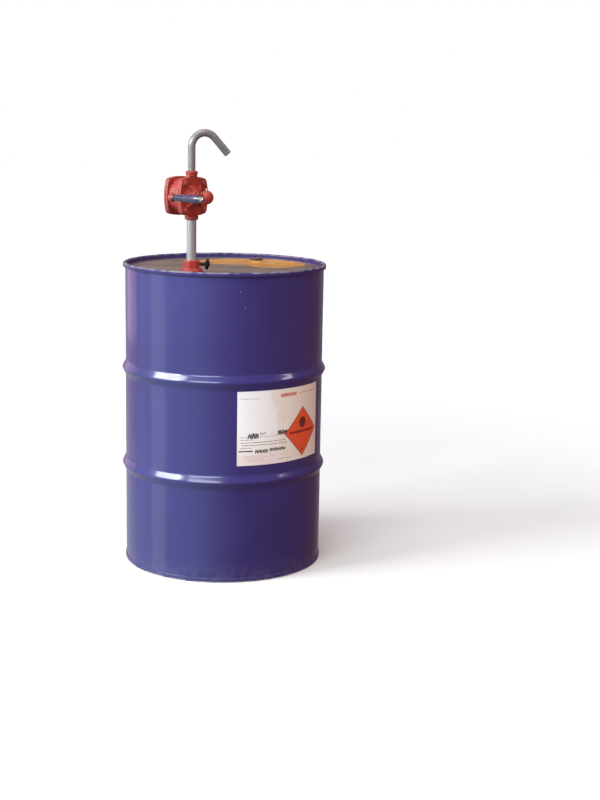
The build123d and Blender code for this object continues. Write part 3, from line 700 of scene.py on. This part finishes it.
headSizes = {
    "recess": 17.0, "chimeInner": 283.6, "topChime": 293.4, "topDepth": 13.0, "bottomChime": 289.2,
    "bottomDepth": 12.5, "beadOuter": 268.0, "beadInner": 252.0, "beadRise": 1.8, "rimRound": 4.0,
    "pumpHole": 34.1, "ventHole": 17.6, "bossRise": 4.4, "bossSpread": 13.0, "bossRound": 2.6,
    "legGap": 0.1, "legStop": 4.0, "cornerRound": 5.0, "beadRound": 6.0, "beadFlank": 5.0,
    "punchReach": 9.0,
}


def headDisc(name, chime, depth):
    s, d = headSizes, drumSizes
    top, face = d["height"], d["height"] - s["recess"]
    under = face - d["sheet"]
    # the body's edge stands in the fold between these two legs
    innerLeg, outerLeg = d["radius"] - d["sheet"] - s["legGap"], d["radius"] + s["legGap"]
    slot = top - s["legStop"]
    lip = min(2.6, 0.6 * (chime - outerLeg))
    fold = 0.42 * (chime - s["chimeInner"])
    bead, soft = face + s["beadRise"], s["beadRound"]
    return turned(name, [
        (0, under, 0), (innerLeg, under, soft), (innerLeg, slot, 0), (outerLeg, slot, 0),
        (outerLeg, top - depth, 0.4), (chime, top - depth, lip), (chime, top, min(s["rimRound"], fold)),
        (s["chimeInner"], top, fold), (s["chimeInner"], face, s["cornerRound"]),
        (s["beadOuter"], face, soft), (s["beadOuter"] - s["beadFlank"], bead, soft),
        (s["beadInner"] + s["beadFlank"], bead, soft), (s["beadInner"], face, soft), (0, face, 0)],
        around=200)


def onHead(piece, onBench):
    # to its place on the head, still in millimetres
    piece.data.transform(onBench)
    piece.data.transform(Matrix.Scale(1 / mm, 4))
    return piece


def bungBoss(onBench, neck):
    # the head's sheet drawn up round a bung flange
    s = headSizes
    face = drumSizes["height"] - s["recess"]
    outer, top = neck + s["bossSpread"], face + s["bossRise"]
    boss = turned("bungBoss", [
        (neck, face - 0.8, 0), (neck, top, 1.0), (neck + s["bossRound"], top, 1.6),
        (outer - 3.5, face + 0.1, 5.0), (outer, face - 0.5, 0)], around=72)
    return onHead(boss, onBench)


def punchHole(head, onBench, hole):
    face, reach = drumSizes["height"] - headSizes["recess"], headSizes["punchReach"]
    low, high = face - reach, face + reach
    punch = onHead(turned("punch", [(0, low, 0), (hole, low, 0), (hole, high, 0), (0, high, 0)], 72), onBench)
    cut = head.modifiers.new("Punch", "BOOLEAN")
    cut.operation = "DIFFERENCE"
    cut.solver = "EXACT"
    cut.object = punch
    flatten(head)
    bpy.data.objects.remove(punch)


def buildHeads():
    s = headSizes
    head = headDisc("topHeadPressing", s["topChime"], s["topDepth"])
    holes = ((tubeBench, s["pumpHole"]), (ventBench, s["ventHole"]))
    for onBench, hole in holes:
        punchHole(head, onBench, hole)
    merged(head, [bungBoss(onBench, hole) for onBench, hole in holes])
    finishPiece(head, drumBench, "drum", "head_paint", ["top_head"], finishes["head_paint"], 30)
    foot = headDisc("bottomHeadPressing", s["bottomChime"], s["bottomDepth"])
    foot.data.transform(Matrix.Translation((0, 0, drumSizes["height"])) @ Matrix.Rotation(math.pi, 4, "X"))
    finishPiece(foot, drumBench, "drum", "drum_enamel", ["bottom_head"], finishes["drum_enamel"], 30)


buildBody()
buildHeads()
print("drum rolled and closed")


# label: everything is laid out flat, then wrapped on the drum
labelSizes = {
    "width": 297.0, "height": 210.0, "paper": 0.25, "gap": 0.05, "inkLift": 0.33, "inkThickness": 0.04,
    "columns": 90, "rows": 64, "barLift": 0.35,
}
# the sheet's lower edge and the heading of its left edge, both from the CAD sheet
labelLow = span("product_label", drumBench)[0].z
labelStart = min(math.atan2(v.co.y, v.co.x) for v in frame["nodes"]["product_label"].data.vertices)


def wrapOn(tree, geometry, flat, radius):
    # flat x is the way round from the sheet's left edge, flat y is height, flat z stands off the steel
    x, y, z = split(tree, flat)
    heading = calc(tree, "ADD", calc(tree, "DIVIDE", x, radius), labelStart)
    r = calc(tree, "ADD", z, radius)
    wrapped = join(tree, calc(tree, "MULTIPLY", calc(tree, "COSINE", heading), r),
                   calc(tree, "MULTIPLY", calc(tree, "SINE", heading), r), calc(tree, "ADD", y, labelLow))
    return wire(tree, "GeometryNodeSetPosition", None, {"Geometry": geometry, "Position": wrapped})


def wrapTree():
    tree, entry = makeTree("wrapOnDrum", {"Radius": 286.9})
    flat = wire(tree, "GeometryNodeInputPosition")
    return endTree(tree, wrapOn(tree, entry["Geometry"], flat, entry["Radius"]), entry)


def barsTree():
    # rows of plain bars of uneven length, the way a block of print looks from afar
    tree, entry = makeTree("printBars", {
        "Radius": 286.9, "Left": 10.0, "Up": 100.0, "Line Width": 100.0, "Line Gap": 7.0, "Lines": 1,
        "Bar Height": 1.5, "Height Spread": 0.0, "Shortest": 3.0, "Longest": 12.0, "Space": 2.0,
        "Lift": 0.34, "Tilt": 0.0, "Bars": 20, "Seed": 1})

    def chance(low, high, seed):
        return wire(tree, "FunctionNodeRandomValue", {"data_type": "FLOAT"},
                    {2: low, 3: high, "Seed": seed}).outputs[1]

    def eitherWay(limit, seedStep):
        seed = calc(tree, "ADD", entry["Seed"], seedStep)
        return chance(calc(tree, "MULTIPLY", limit, -1.0), limit, seed)

    points = wire(tree, "GeometryNodePoints", None, {"Count": entry["Bars"]})
    length = chance(entry["Shortest"], entry["Longest"], entry["Seed"])
    spread = eitherWay(entry["Height Spread"], 5)
    step = calc(tree, "ADD", length, entry["Space"])
    run = wire(tree, "GeometryNodeAccumulateField", {"data_type": "FLOAT"}, {0: step}).outputs["Trailing"]
    row = calc(tree, "FLOOR", calc(tree, "DIVIDE", run, entry["Line Width"]))
    x = calc(tree, "SUBTRACT", run, calc(tree, "MULTIPLY", row, entry["Line Width"]))
    over = calc(tree, "GREATER_THAN", calc(tree, "ADD", x, length), entry["Line Width"])
    late = calc(tree, "GREATER_THAN", row, calc(tree, "SUBTRACT", entry["Lines"], 0.5))
    gone = wire(tree, "FunctionNodeBooleanMath", {"operation": "OR"}, {0: over, 1: late})
    middle = calc(tree, "ADD", calc(tree, "ADD", x, entry["Left"]), calc(tree, "MULTIPLY", length, 0.5))
    y = calc(tree, "SUBTRACT", entry["Up"], calc(tree, "MULTIPLY", row, entry["Line Gap"]))
    y = calc(tree, "ADD", y, calc(tree, "MULTIPLY", spread, 0.25))
    height = calc(tree, "ADD", entry["Bar Height"], spread)
    placed = wire(tree, "GeometryNodeSetPosition", None, {
        "Geometry": points, "Position": join(tree, middle, y, entry["Lift"])})
    tag = wire(tree, "GeometryNodeStoreNamedAttribute", {"data_type": "FLOAT_VECTOR", "domain": "POINT"}, {
        "Geometry": placed, "Name": "size", "Value": join(tree, length, height, 1.0)})
    kept = wire(tree, "GeometryNodeDeleteGeometry", {"domain": "POINT"}, {
        "Geometry": tag, "Selection": gone})
    bar = wire(tree, "GeometryNodeMeshGrid", None, {
        "Size X": 1.0, "Size Y": 1.0, "Vertices X": 4, "Vertices Y": 2})
    size = wire(tree, "GeometryNodeInputNamedAttribute", {"data_type": "FLOAT_VECTOR"}, {"Name": "size"})
    lean = eitherWay(entry["Tilt"], 9)
    laid = wire(tree, "GeometryNodeInstanceOnPoints", None, {
        "Points": kept, "Instance": bar, "Scale": size,
        "Rotation": join(tree, 0.0, 0.0, calc(tree, "RADIANS", lean))})
    flat = wire(tree, "GeometryNodeRealizeInstances", None, {0: laid})
    here = wire(tree, "GeometryNodeInputPosition")
    return endTree(tree, wrapOn(tree, flat, here.outputs[0], entry["Radius"]), entry)


def flatPatch(name, wide, tall, turn, x, y, z, cuts=40):
    bm = bmesh.new()
    bmesh.ops.create_grid(bm, x_segments=cuts, y_segments=cuts, size=0.5)
    shape = Matrix.Rotation(turn, 4, "Z") @ Matrix.Diagonal((wide, tall, 1, 1))
    bm.transform(Matrix.Translation((x, y, z)) @ shape)
    mesh = bpy.data.meshes.new(name)
    bm.to_mesh(mesh)
    bm.free()
    return mesh


def flatDisc(name, radius, x, y, z):
    bm = bmesh.new()
    bmesh.ops.create_circle(bm, cap_ends=True, cap_tris=True, segments=48, radius=radius)
    bmesh.ops.subdivide_edges(bm, edges=[e for e in bm.edges if not e.is_boundary], cuts=4)
    bm.transform(Matrix.Translation((x, y, z)))
    mesh = bpy.data.meshes.new(name)
    bm.to_mesh(mesh)
    bm.free()
    return mesh


def printPiece(name, tree, values, material, start=None):
    piece = grow(name, tree, dict(values, Radius=drumSizes["radius"]), material, start)
    stiffen(piece, labelSizes["inkThickness"])
    return finishPiece(piece, drumBench, "drum", "label_paper", material=material)


def layPaper(wrap):
    # the sheet's own UV map runs from 0 to 1 across and up
    s = labelSizes
    bm = bmesh.new()
    bmesh.ops.create_grid(bm, x_segments=s["columns"], y_segments=s["rows"], size=0.5, calc_uvs=False)
    stand = s["paper"] + s["gap"]
    for vertex in bm.verts:
        vertex.co = ((vertex.co.x + 0.5) * s["width"], (vertex.co.y + 0.5) * s["height"], stand)
    layer = bm.loops.layers.uv.new("sheet")
    for face in bm.faces:
        for loop in face.loops:
            loop[layer].uv = (loop.vert.co.x / s["width"], loop.vert.co.y / s["height"])
    mesh = bpy.data.meshes.new("labelSheet")
    bm.to_mesh(mesh)
    bm.free()
    sheet = grow("labelSheet", wrap, {"Radius": drumSizes["radius"]}, finishes["label_paper"], mesh)
    finishPiece(stiffen(sheet, s["paper"]), drumBench, "drum", "label_paper", ["product_label"])


printColumns = ("Left", "Up", "Line Width", "Line Gap", "Lines", "Bar Height", "Height Spread", "Shortest",
                "Longest", "Space", "Tilt", "Bars")
printBlocks = {
    # name: ink, then printColumns, in millimetres, degrees or counts
    "smallHeading": ("grey", 11, 189, 52, 5, 1, 1.5, 0.2, 3, 9, 1.2, 0, 12),
    "headingBar": ("red", 131, 192, 62, 8, 1, 9.4, 1.6, 3.4, 6.0, 1.3, 6, 14),
    "headingRule": ("red", 200, 191, 86, 5, 1, 1.7, 0.3, 4, 11, 0.9, 0, 16),
    "sideTick": ("black", 270, 150, 5.0, 4.4, 3, 2.6, 0.3, 3.4, 4.2, 0.6, 0, 6),
    "markerLeft": ("black", 31, 83, 33, 5, 1, 13.0, 3.0, 2.6, 4.4, 0.6, 30, 12),
    "markerMiddle": ("black", 67, 89, 20, 5, 1, 7.5, 2.6, 1.3, 2.4, 3.0, 40, 6),
    "markerRight": ("black", 122, 87, 37, 5, 1, 13.0, 3.0, 2.6, 4.4, 0.6, 32, 12),
    "formLine": ("grey", 10, 80, 112, 5, 1, 1.3, 0.2, 4, 9, 1.5, 0, 24),
    "textShort": ("grey", 9, 73, 46, 5, 1, 1.8, 0.3, 4, 15, 1.8, 0, 10),
    "bodyText": ("grey", 9, 65, 148, 7.6, 2, 2.2, 0.4, 4, 15, 1.6, 0, 40),
    "textLast": ("grey", 9, 50, 42, 5, 1, 1.9, 0.3, 4, 15, 1.8, 0, 10),
    "signStroke": ("black", 4, 41, 46, 5, 1, 3.4, 0.6, 8, 12, -0.5, 3, 7),
    "markerLow": ("black", 52, 39, 40, 5, 1, 10.0, 2.4, 2.2, 3.8, 1.1, 28, 16),
    "markerEnd": ("black", 96, 41, 57, 5, 1, 9.0, 2.4, 2.4, 4.2, 1.2, 26, 20),
    "pinkText": ("pink", 14, 27, 66, 5.0, 4, 1.6, 0.3, 5, 16, 1.4, 0, 34),
    "footLine": ("grey", 122, 12, 52, 5, 1, 1.5, 0.2, 3, 10, 1.2, 0, 12),
    "midLine": ("pink", 70, 30, 96, 6, 2, 1.2, 0.2, 4, 12, 1.6, 0, 30),
}
printCounts = ("Lines", "Bars")


def layPrint(bars):
    # every block has its own seed, counted on from 2
    for seed, (name, (tint, *numbers)) in enumerate(printBlocks.items(), 2):
        values = {column: number if column in printCounts else float(number)
                  for column, number in zip(printColumns, numbers)}
        values.update({"Lift": labelSizes["barLift"], "Seed": seed})
        printPiece(name, bars, values, inks[tint])


diamondSizes = {"side": 101.0, "across": 218.0, "up": 79.5, "border": 3.0, "halo": 3.0, "layer": 0.045,
                "band": (108.0, 6.5), "bandUp": 0.5, "mark": (5.0, 9.0), "markUp": -52.0,
                "discRadius": 15.0, "discUp": 26.0}


def layDiamond(wrap):
    # a plain disc for a picture and a plain band for words, in the diamond's own colours
    s = diamondSizes
    side, quarter = s["side"], 0.25 * math.pi
    halo, field = side + s["halo"], side - s["border"]
    layers = (
        # name, ink, width, height, turn, how far up, how many layers of ink below
        ("diamondHalo", "pink", halo, halo, quarter, 0.0, 0),
        ("diamondBorder", "brown", side, side, quarter, 0.0, 1),
        ("diamondField", "orange", field, field, quarter, 0.0, 2),
        ("diamondBand", "russet", *s["band"], 0.0, s["bandUp"], 3),
        ("diamondMark", "russet", *s["mark"], 0.0, s["markUp"], 3),
    )
    for name, tint, wide, tall, turn, up, under in layers:
        z = labelSizes["inkLift"] + under * s["layer"]
        patch = flatPatch(name, wide, tall, turn, s["across"], s["up"] + up, z)
        printPiece(name, wrap, {}, inks[tint], patch)
    z = labelSizes["inkLift"] + 3 * s["layer"]
    disc = flatDisc("diamondDisc", s["discRadius"], s["across"], s["up"] + s["discUp"], z)
    printPiece("diamondDisc", wrap, {}, inks["brown"], disc)


def buildLabel():
    wrap, bars = wrapTree(), barsTree()
    layPaper(wrap)
    layPrint(bars)
    layDiamond(wrap)


buildLabel()
print("label printed and laid on")


# tubes: one tree bends them all
tubeSizes = {"wall": 2.3, "bendRadius": 37.6, "spoutWall": 2.0, "freeEnd": 58.9, "around": 56,
             "rimEase": 0.5, "spoutRimEase": 0.35}


def bentTubeTree():
    tree, entry = makeTree("bentTube", {
        "Foot": 0.0, "Rise": 100.0, "Bend Radius": 40.0, "Bend Angle": 0.0, "Free End": 0.0,
        "Tube Radius": 10.0, "Around": 48, "Stations": 40})

    def do(operation, *values):
        return calc(tree, operation, *values)

    turn = do("RADIANS", entry["Bend Angle"])
    bent = do("MULTIPLY", turn, entry["Bend Radius"])
    whole = do("ADD", do("ADD", entry["Rise"], bent), entry["Free End"])
    line = wire(tree, "GeometryNodeCurvePrimitiveLine", None, {
        "Start": (0, 0, 0), "End": join(tree, 0.0, 0.0, whole)})
    stations = wire(tree, "GeometryNodeResampleCurve", None, {"Curve": line, "Count": entry["Stations"]})
    along = split(tree, wire(tree, "GeometryNodeInputPosition"))[2]
    past = do("SUBTRACT", along, entry["Rise"])
    phi = do("MINIMUM", do("MAXIMUM", do("DIVIDE", past, entry["Bend Radius"]), 0.0), turn)
    free = do("MAXIMUM", do("SUBTRACT", past, bent), 0.0)
    x = do("ADD", do("MULTIPLY", do("SUBTRACT", 1.0, do("COSINE", phi)), entry["Bend Radius"]),
           do("MULTIPLY", do("SINE", phi), free))
    z = do("ADD", do("MULTIPLY", do("SINE", phi), entry["Bend Radius"]),
           do("MULTIPLY", do("COSINE", phi), free))
    z = do("ADD", do("ADD", z, entry["Foot"]), do("MINIMUM", along, entry["Rise"]))
    path = wire(tree, "GeometryNodeSetPosition", None, {
        "Geometry": stations, "Position": join(tree, x, 0.0, z)})
    ring = wire(tree, "GeometryNodeCurvePrimitiveCircle", None, {
        "Resolution": entry["Around"], "Radius": entry["Tube Radius"]})
    tube = wire(tree, "GeometryNodeCurveToMesh", None, {"Curve": path, "Profile Curve": ring})
    return endTree(tree, tube, entry)


def buildTubes():
    s = tubeSizes
    tree = bentTubeTree()
    for name, node in (("upperTube", "upper_suction_tube"), ("lowerTube", "lower_suction_tube")):
        low, high = span(node, tubeBench)
        tube = grow(name, tree, {
            "Foot": low.z, "Rise": high.z - low.z, "Bend Radius": s["bendRadius"], "Bend Angle": 0.0,
            "Free End": 0.0, "Tube Radius": high.x, "Around": s["around"], "Stations": 24},
            finishes["zinc_tube"])
        stiffen(tube, s["wall"], s["rimEase"])
        finishPiece(tube, tubeBench, "pump", "zinc_tube", [node])
    outlet = next(m for m in frame["record"]["mounts"] if m["name"] == "spout_outlet")
    way = Vector(outlet["axis"])
    level = Vector((way.x, way.y, 0)).normalized()
    spoutBench = bench(Vector((tubePoint.x, tubePoint.y, 0)), level, upward.cross(level), upward)
    low, high = span("spout", spoutBench)
    radius = high.y
    fall = math.degrees(math.asin(-way.z))
    rise = high.z - radius - s["bendRadius"] - low.z
    darkerZinc = zincTube("dullTube", 0.24)         # the spout is given a darker zinc than the tube below
    spout = grow("spoutTube", tree, {
        "Foot": low.z, "Rise": rise, "Bend Radius": s["bendRadius"], "Bend Angle": 90.0 + fall,
        "Free End": s["freeEnd"], "Tube Radius": radius, "Around": s["around"], "Stations": 150},
        darkerZinc)
    stiffen(spout, s["spoutWall"], s["spoutRimEase"])
    finishPiece(spout, spoutBench, "spout", "zinc_tube", ["spout"])


buildTubes()
print("tubes bent")


# castings, and small turned or forged pieces whose corners are run over
castings = {
    # piece: CAD node, body, grain of the mesh in mm, smoothing passes
    "housingCasting": ("pump_housing", "pump", 1.05, 7),
    "frontCoverCasting": ("front_cover", "pump", 0.75, 8),
    "backCoverCasting": ("back_cover", "pump", 0.85, 7),
    "crankCasting": ("crank_arm", "rotor", 0.70, 8),
    "adapterCasting": ("bung_adapter", "drum", 0.70, 6),
    "ventPlugPressing": ("vent_plug", "vent_plug", 0.45, 4),
    "largeBungFlange": ("bung_flange_large", "drum", 0.65, 3),
    "smallBungFlange": ("bung_flange_small", "drum", 0.50, 3),
    "clampTeeBar": ("clamp_tee_bar", "clamp_screw", 0.32, 5),
    "clampStem": ("clamp_screw", "clamp_screw", 0.40, 3),
    "setScrew": ("crank_set_screw", "rotor", 0.22, 2),
    "spoutNutTurning": ("spout_nut", "pump", 0.50, 4),
    "gripPinForging": ("grip_pin", "rotor", 0.35, 2),
}


def buildCastings():
    # the vent plug stands in the dried spill, so its paint is stained and dull
    stained = softGood("stainedEnamel", (0.052, 0.040, 0.078), (0.115, 0.068, 0.042), 0.45, 260.0)
    slotOf = {material: slotName for slotName, material in finishes.items()}
    for name, (node, body, grain, passes) in castings.items():
        coat = frame["nodes"][node].material_slots[0].material
        slotName = slotOf[coat]
        if node == "vent_plug":
            coat = stained
        piece = cast(name, node, grain, passes)
        finishPiece(piece, Matrix.Scale(mm, 4), body, slotName, [node], coat, 50)


buildCastings()
print("castings fettled")


# screws, gland nut, grip
screwSizes = {"flats": 13.0, "head": 5.5, "collar": 8.2, "shank": 4.0, "shankLength": 14.5,
              "spacing": 73.0, "turnSpread": 60.0}


def cornerScrewsTree():
    tree, entry = makeTree("cornerScrews", {
        "Screw": "NodeSocketObject", "Spacing": 73.0, "Middle": 0.0, "Turn Spread": 60.0, "Seed": 1})
    square = wire(tree, "GeometryNodeMeshGrid", None, {
        "Size X": entry["Spacing"], "Size Y": entry["Spacing"], "Vertices X": 2, "Vertices Y": 2})
    moved = wire(tree, "GeometryNodeTransform", None, {
        "Geometry": square, "Translation": join(tree, entry["Middle"], 0.0, 0.0)})
    turn = wire(tree, "FunctionNodeRandomValue", {"data_type": "FLOAT"}, {
        2: 0.0, 3: calc(tree, "RADIANS", entry["Turn Spread"]), "Seed": entry["Seed"]}).outputs[1]
    screw = wire(tree, "GeometryNodeObjectInfo", None, {"Object": entry["Screw"]})
    placed = wire(tree, "GeometryNodeInstanceOnPoints", None, {
        "Points": moved, "Instance": screw.outputs["Geometry"], "Rotation": join(tree, 0.0, 0.0, turn)})
    return endTree(tree, placed, entry)


def buildScrews():
    s = screwSizes
    tree = cornerScrewsTree()
    head = hexHead("screwHead", s["flats"], 0.0, s["head"], collar=s["collar"])
    shank = turned("shank", [(0, -s["shankLength"], 0), (s["shank"], -s["shankLength"], 0.8),
                             (s["shank"], 0.3, 0), (0, 0.3, 0)], 32, 3)
    screw = merged(head, [shank])
    middle = sum(span("front_cover", pumpBench), Vector()).x / 2
    faceFront = span("front_cover_screws", pumpBench)[1].z - s["head"]
    faceBack = span("back_cover_screws", pumpBench)[0].z + s["head"]
    sides = (
        ("frontScrews", "front_cover_screws", Matrix.Translation((0, 0, faceFront)), middle, 5),
        ("backScrews", "back_cover_screws",
         Matrix.Translation((0, 0, faceBack)) @ Matrix.Rotation(math.pi, 4, "Y"), -middle, 8),
    )
    for name, node, turn, x, seed in sides:
        piece = grow(name, tree, {"Screw": screw, "Spacing": s["spacing"], "Middle": x,
                                  "Turn Spread": s["turnSpread"], "Seed": seed}, finishes["pump_red"])
        finishPiece(piece, pumpBench @ turn, "pump", "pump_red", [node], finishes["pump_red"], 30)
    bpy.data.objects.remove(screw)


glandSizes = {"flats": 26.0, "head": 6.0, "bore": 7.05, "sleeve": 12.4, "turn": 0.2}


def buildGlandNut():
    s = glandSizes
    line = besideShaft(shaftSpot)
    low, high = span("gland_nut", line)
    under = high.z - s["head"]
    nut = hexHead("glandNutTurning", s["flats"], under, high.z, bore=s["bore"], turn=s["turn"])
    top = under + 0.1
    sleeve = turned("sleeve", [(s["bore"], low.z, 0), (s["sleeve"], low.z, 0.6), (s["sleeve"], top, 0),
                               (s["bore"], top, 0)], 64, 3)
    finishPiece(merged(nut, [sleeve]), line, "pump", "bronze", ["gland_nut"], finishes["bronze"], 30)


gripSizes = {"inner": 7.6, "waist": 9.9, "belly": 11.3, "nose": 8.0, "bore": 4.08, "washer": 8.2,
             "pin": 4.0, "nutFlats": 12.0, "nutHigh": 5.5, "nutTurn": 0.14, "domeRadius": 4.9}


def buildGrip():
    s = gripSizes
    line = besideShaft(gripSpot)
    low, high = span("crank_grip", line)
    long = high.z - low.z
    grip = turned("gripMoulding", [
        (s["bore"], low.z, 0.4), (s["inner"] - 0.6, low.z, 1.6),
        (s["inner"] + 0.6, low.z + 0.06 * long, 6.0), (s["waist"], low.z + 0.42 * long, 160.0),
        (s["belly"], low.z + 0.84 * long, 14.0), (s["nose"], high.z, 2.4), (s["bore"], high.z, 0.6)],
        around=64, steps=12)
    finishPiece(grip, line, "grip", "grip_plastic", ["crank_grip"], finishes["grip_plastic"], 50)
    for name, node in (("innerWasher", "grip_inner_washer"), ("outerWasher", "grip_outer_washer")):
        near, far = span(node, line)
        washer = turned(name, [(s["pin"], near.z, 0), (s["washer"], near.z, 0.45),
                               (s["washer"], far.z, 0.45), (s["pin"], far.z, 0)], 64, 3)
        finishPiece(washer, line, "rotor", "steel_screws", [node], finishes["steel_screws"])
    near, far = span("grip_nut", line)
    nut = hexHead("capNut", s["nutFlats"], near.z, near.z + s["nutHigh"], bore=s["pin"], turn=s["nutTurn"])
    dome = turned("dome", [
        (s["pin"], near.z + 3.0, 0), (s["domeRadius"] - 0.3, near.z + s["nutHigh"] - 0.3, 0.4),
        (s["domeRadius"], far.z - 1.8, 2.4), (2.0, far.z, 1.2), (0, far.z, 0), (0, far.z - 1.0, 0),
        (s["pin"], far.z - 3.0, 0)], 48, 5)
    finishPiece(merged(nut, [dome]), line, "rotor", "steel_screws", ["grip_nut"],
                finishes["steel_screws"], 30)


buildScrews()
buildGlandNut()
buildGrip()
print("screws and grip fitted")


# floor, light and camera
studio = {
    "floor": (0.845, 0.865, 0.86), "floorHalf": 30.0, "floorDrop": 0.0004,
    "glow": 0.75, "glowFrom": 0.6, "glowTo": 5.0,
    "coolLeft": (0.56, 0.70, 0.82), "warmRight": (0.18, 0.075, 0.080),
    "wallLeft": (0.50, 0.36, 0.46), "wallRight": (0.19, 0.15, 0.175),
}


def buildFloor():
    s = studio
    bm = bmesh.new()
    bmesh.ops.create_grid(bm, x_segments=8, y_segments=8, size=s["floorHalf"])
    floor = bmeshObject("studioFloor", bm)
    floor.data.transform(Matrix.Translation((0, 0, -s["floorDrop"])))
    paint = Finish("floorBoard", Roughness=0.9, Specular_IOR_Level=0.1, Emission_Strength=s["glow"])
    grain = paint.band(paint.noise(3.0, 4), 0.3, 0.7)
    paint.use("Base Color", paint.mix(grain, s["floor"], tuple(0.99 * c for c in s["floor"])))
    # the board glows further out, so that its far edge goes over to white
    away = wire(paint.tree, "ShaderNodeVectorMath", {"operation": "LENGTH"}, {0: paint.place})
    glow = paint.band(away.outputs["Value"], s["glowFrom"], s["glowTo"])
    paint.use("Emission Color", paint.mix(glow, (0.0, 0.0, 0.0), (1.0, 1.0, 1.0)))
    floor.data.materials.append(paint.material)
    floor.visible_glossy = False
    floor.visible_diffuse = False


def softLight(name, heading, away, height, wide, tall, watts, tint=(1, 1, 1), aim=0.6, glossy=True):
    lamp = bpy.data.lights.new(name, "AREA")
    lamp.shape = "RECTANGLE"
    lamp.size, lamp.size_y = wide, tall
    lamp.energy = watts
    lamp.color = tint
    thing = bpy.data.objects.new(name, lamp)
    bpy.context.scene.collection.objects.link(thing)
    angle = math.radians(heading)
    spot = Vector((away * math.cos(angle), away * math.sin(angle), height))
    towards = (Vector((0, 0, aim)) - spot).to_track_quat("-Z", "Y")
    thing.matrix_world = Matrix.Translation(spot) @ towards.to_matrix().to_4x4()
    thing.visible_camera = False
    thing.visible_glossy = glossy


def buildLight():
    # heading -90 is the front; the left is lit, the right is left to a dim warm wall
    softLight("key", -156, 3.4, 2.6, 2.2, 1.8, 150.0, (0.95, 0.99, 1.0))
    softLight("frontFill", -110, 4.6, 3.0, 3.0, 1.6, 105.0, (0.88, 0.97, 1.0))
    softLight("rightFill", -42, 4.6, 2.2, 2.6, 1.8, 75.0, (1.0, 0.84, 0.72), glossy=False)
    softLight("overhead", -80, 0.8, 4.2, 3.2, 3.2, 78.0, (1.0, 0.94, 0.86))
    softLight("windowFar", -166, 3.2, 2.5, 0.22, 0.42, 11.0)
    softLight("windowNear", -145, 3.2, 2.5, 0.22, 0.42, 11.0)
    softLight("windowRight", -8, 3.4, 2.4, 0.9, 0.30, 7.0)
    softLight("paleDoor", -166, 4.0, -0.2, 1.5, 3.0, 9.0, (0.98, 0.96, 1.0), 0.2)
    softLight("brightWall", 140, 4.2, 1.3, 2.4, 2.6, 10.0, (1.0, 0.74, 0.86), 0.8)


def buildRoom():
    # what the enamel reflects: cool on the left, warm on the right, a paler wall behind; white to the eye
    s = studio
    world = bpy.data.worlds.new("studioRoom")
    bpy.context.scene.world = world
    world.use_nodes = True
    tree = world.node_tree
    tree.nodes.clear()
    way = wire(tree, "ShaderNodeTexCoord").outputs["Generated"]
    x, y, z = split(tree, way)
    side = band(tree, x, -0.75, 0.55)
    room = blend(tree, side, s["coolLeft"], s["warmRight"])
    lean = calc(tree, "MULTIPLY_ADD", x, -0.30, y)      # the pale wall reaches further on the left
    low = band(tree, z, -0.15, -0.27, 0.0, 0.55)
    wall = band(tree, lean, 0.60, 0.66)
    wall = calc(tree, "SUBTRACT", wall, calc(tree, "MULTIPLY", wall, low))
    colour = blend(tree, wall, room, blend(tree, side, s["wallLeft"], s["wallRight"]))
    seen = wire(tree, "ShaderNodeLightPath").outputs["Is Camera Ray"]
    final = blend(tree, seen, colour, (1.0, 1.0, 1.0))
    back = wire(tree, "ShaderNodeBackground", None, {"Color": final, "Strength": 1.0})
    wire(tree, "ShaderNodeOutputWorld", None, {"Surface": back})


# place in metres, angles in radians, lens in millimetres
shot = {"place": (0.2242, -4.1964, 1.299), "tilt": 0.1946, "roll": 0.0177, "lens": 65.3}


def buildCamera():
    lens = bpy.data.cameras.new("shotCamera")
    lens.lens = shot["lens"]
    eye = bpy.data.objects.new("shotCamera", lens)
    bpy.context.scene.collection.objects.link(eye)
    ahead = Vector((0, math.cos(shot["tilt"]), -math.sin(shot["tilt"])))
    over = Vector((0, math.sin(shot["tilt"]), math.cos(shot["tilt"])))
    beside = Vector((1, 0, 0))
    right = math.cos(shot["roll"]) * beside + math.sin(shot["roll"]) * over
    top = -math.sin(shot["roll"]) * beside + math.cos(shot["roll"]) * over
    turn = Matrix((right, top, -ahead)).transposed().to_4x4()
    eye.matrix_world = Matrix.Translation(shot["place"]) @ turn
    bpy.context.scene.camera = eye


buildFloor()
buildLight()
buildRoom()
buildCamera()
bpy.context.scene.view_settings.view_transform = "Standard"
print("studio set")
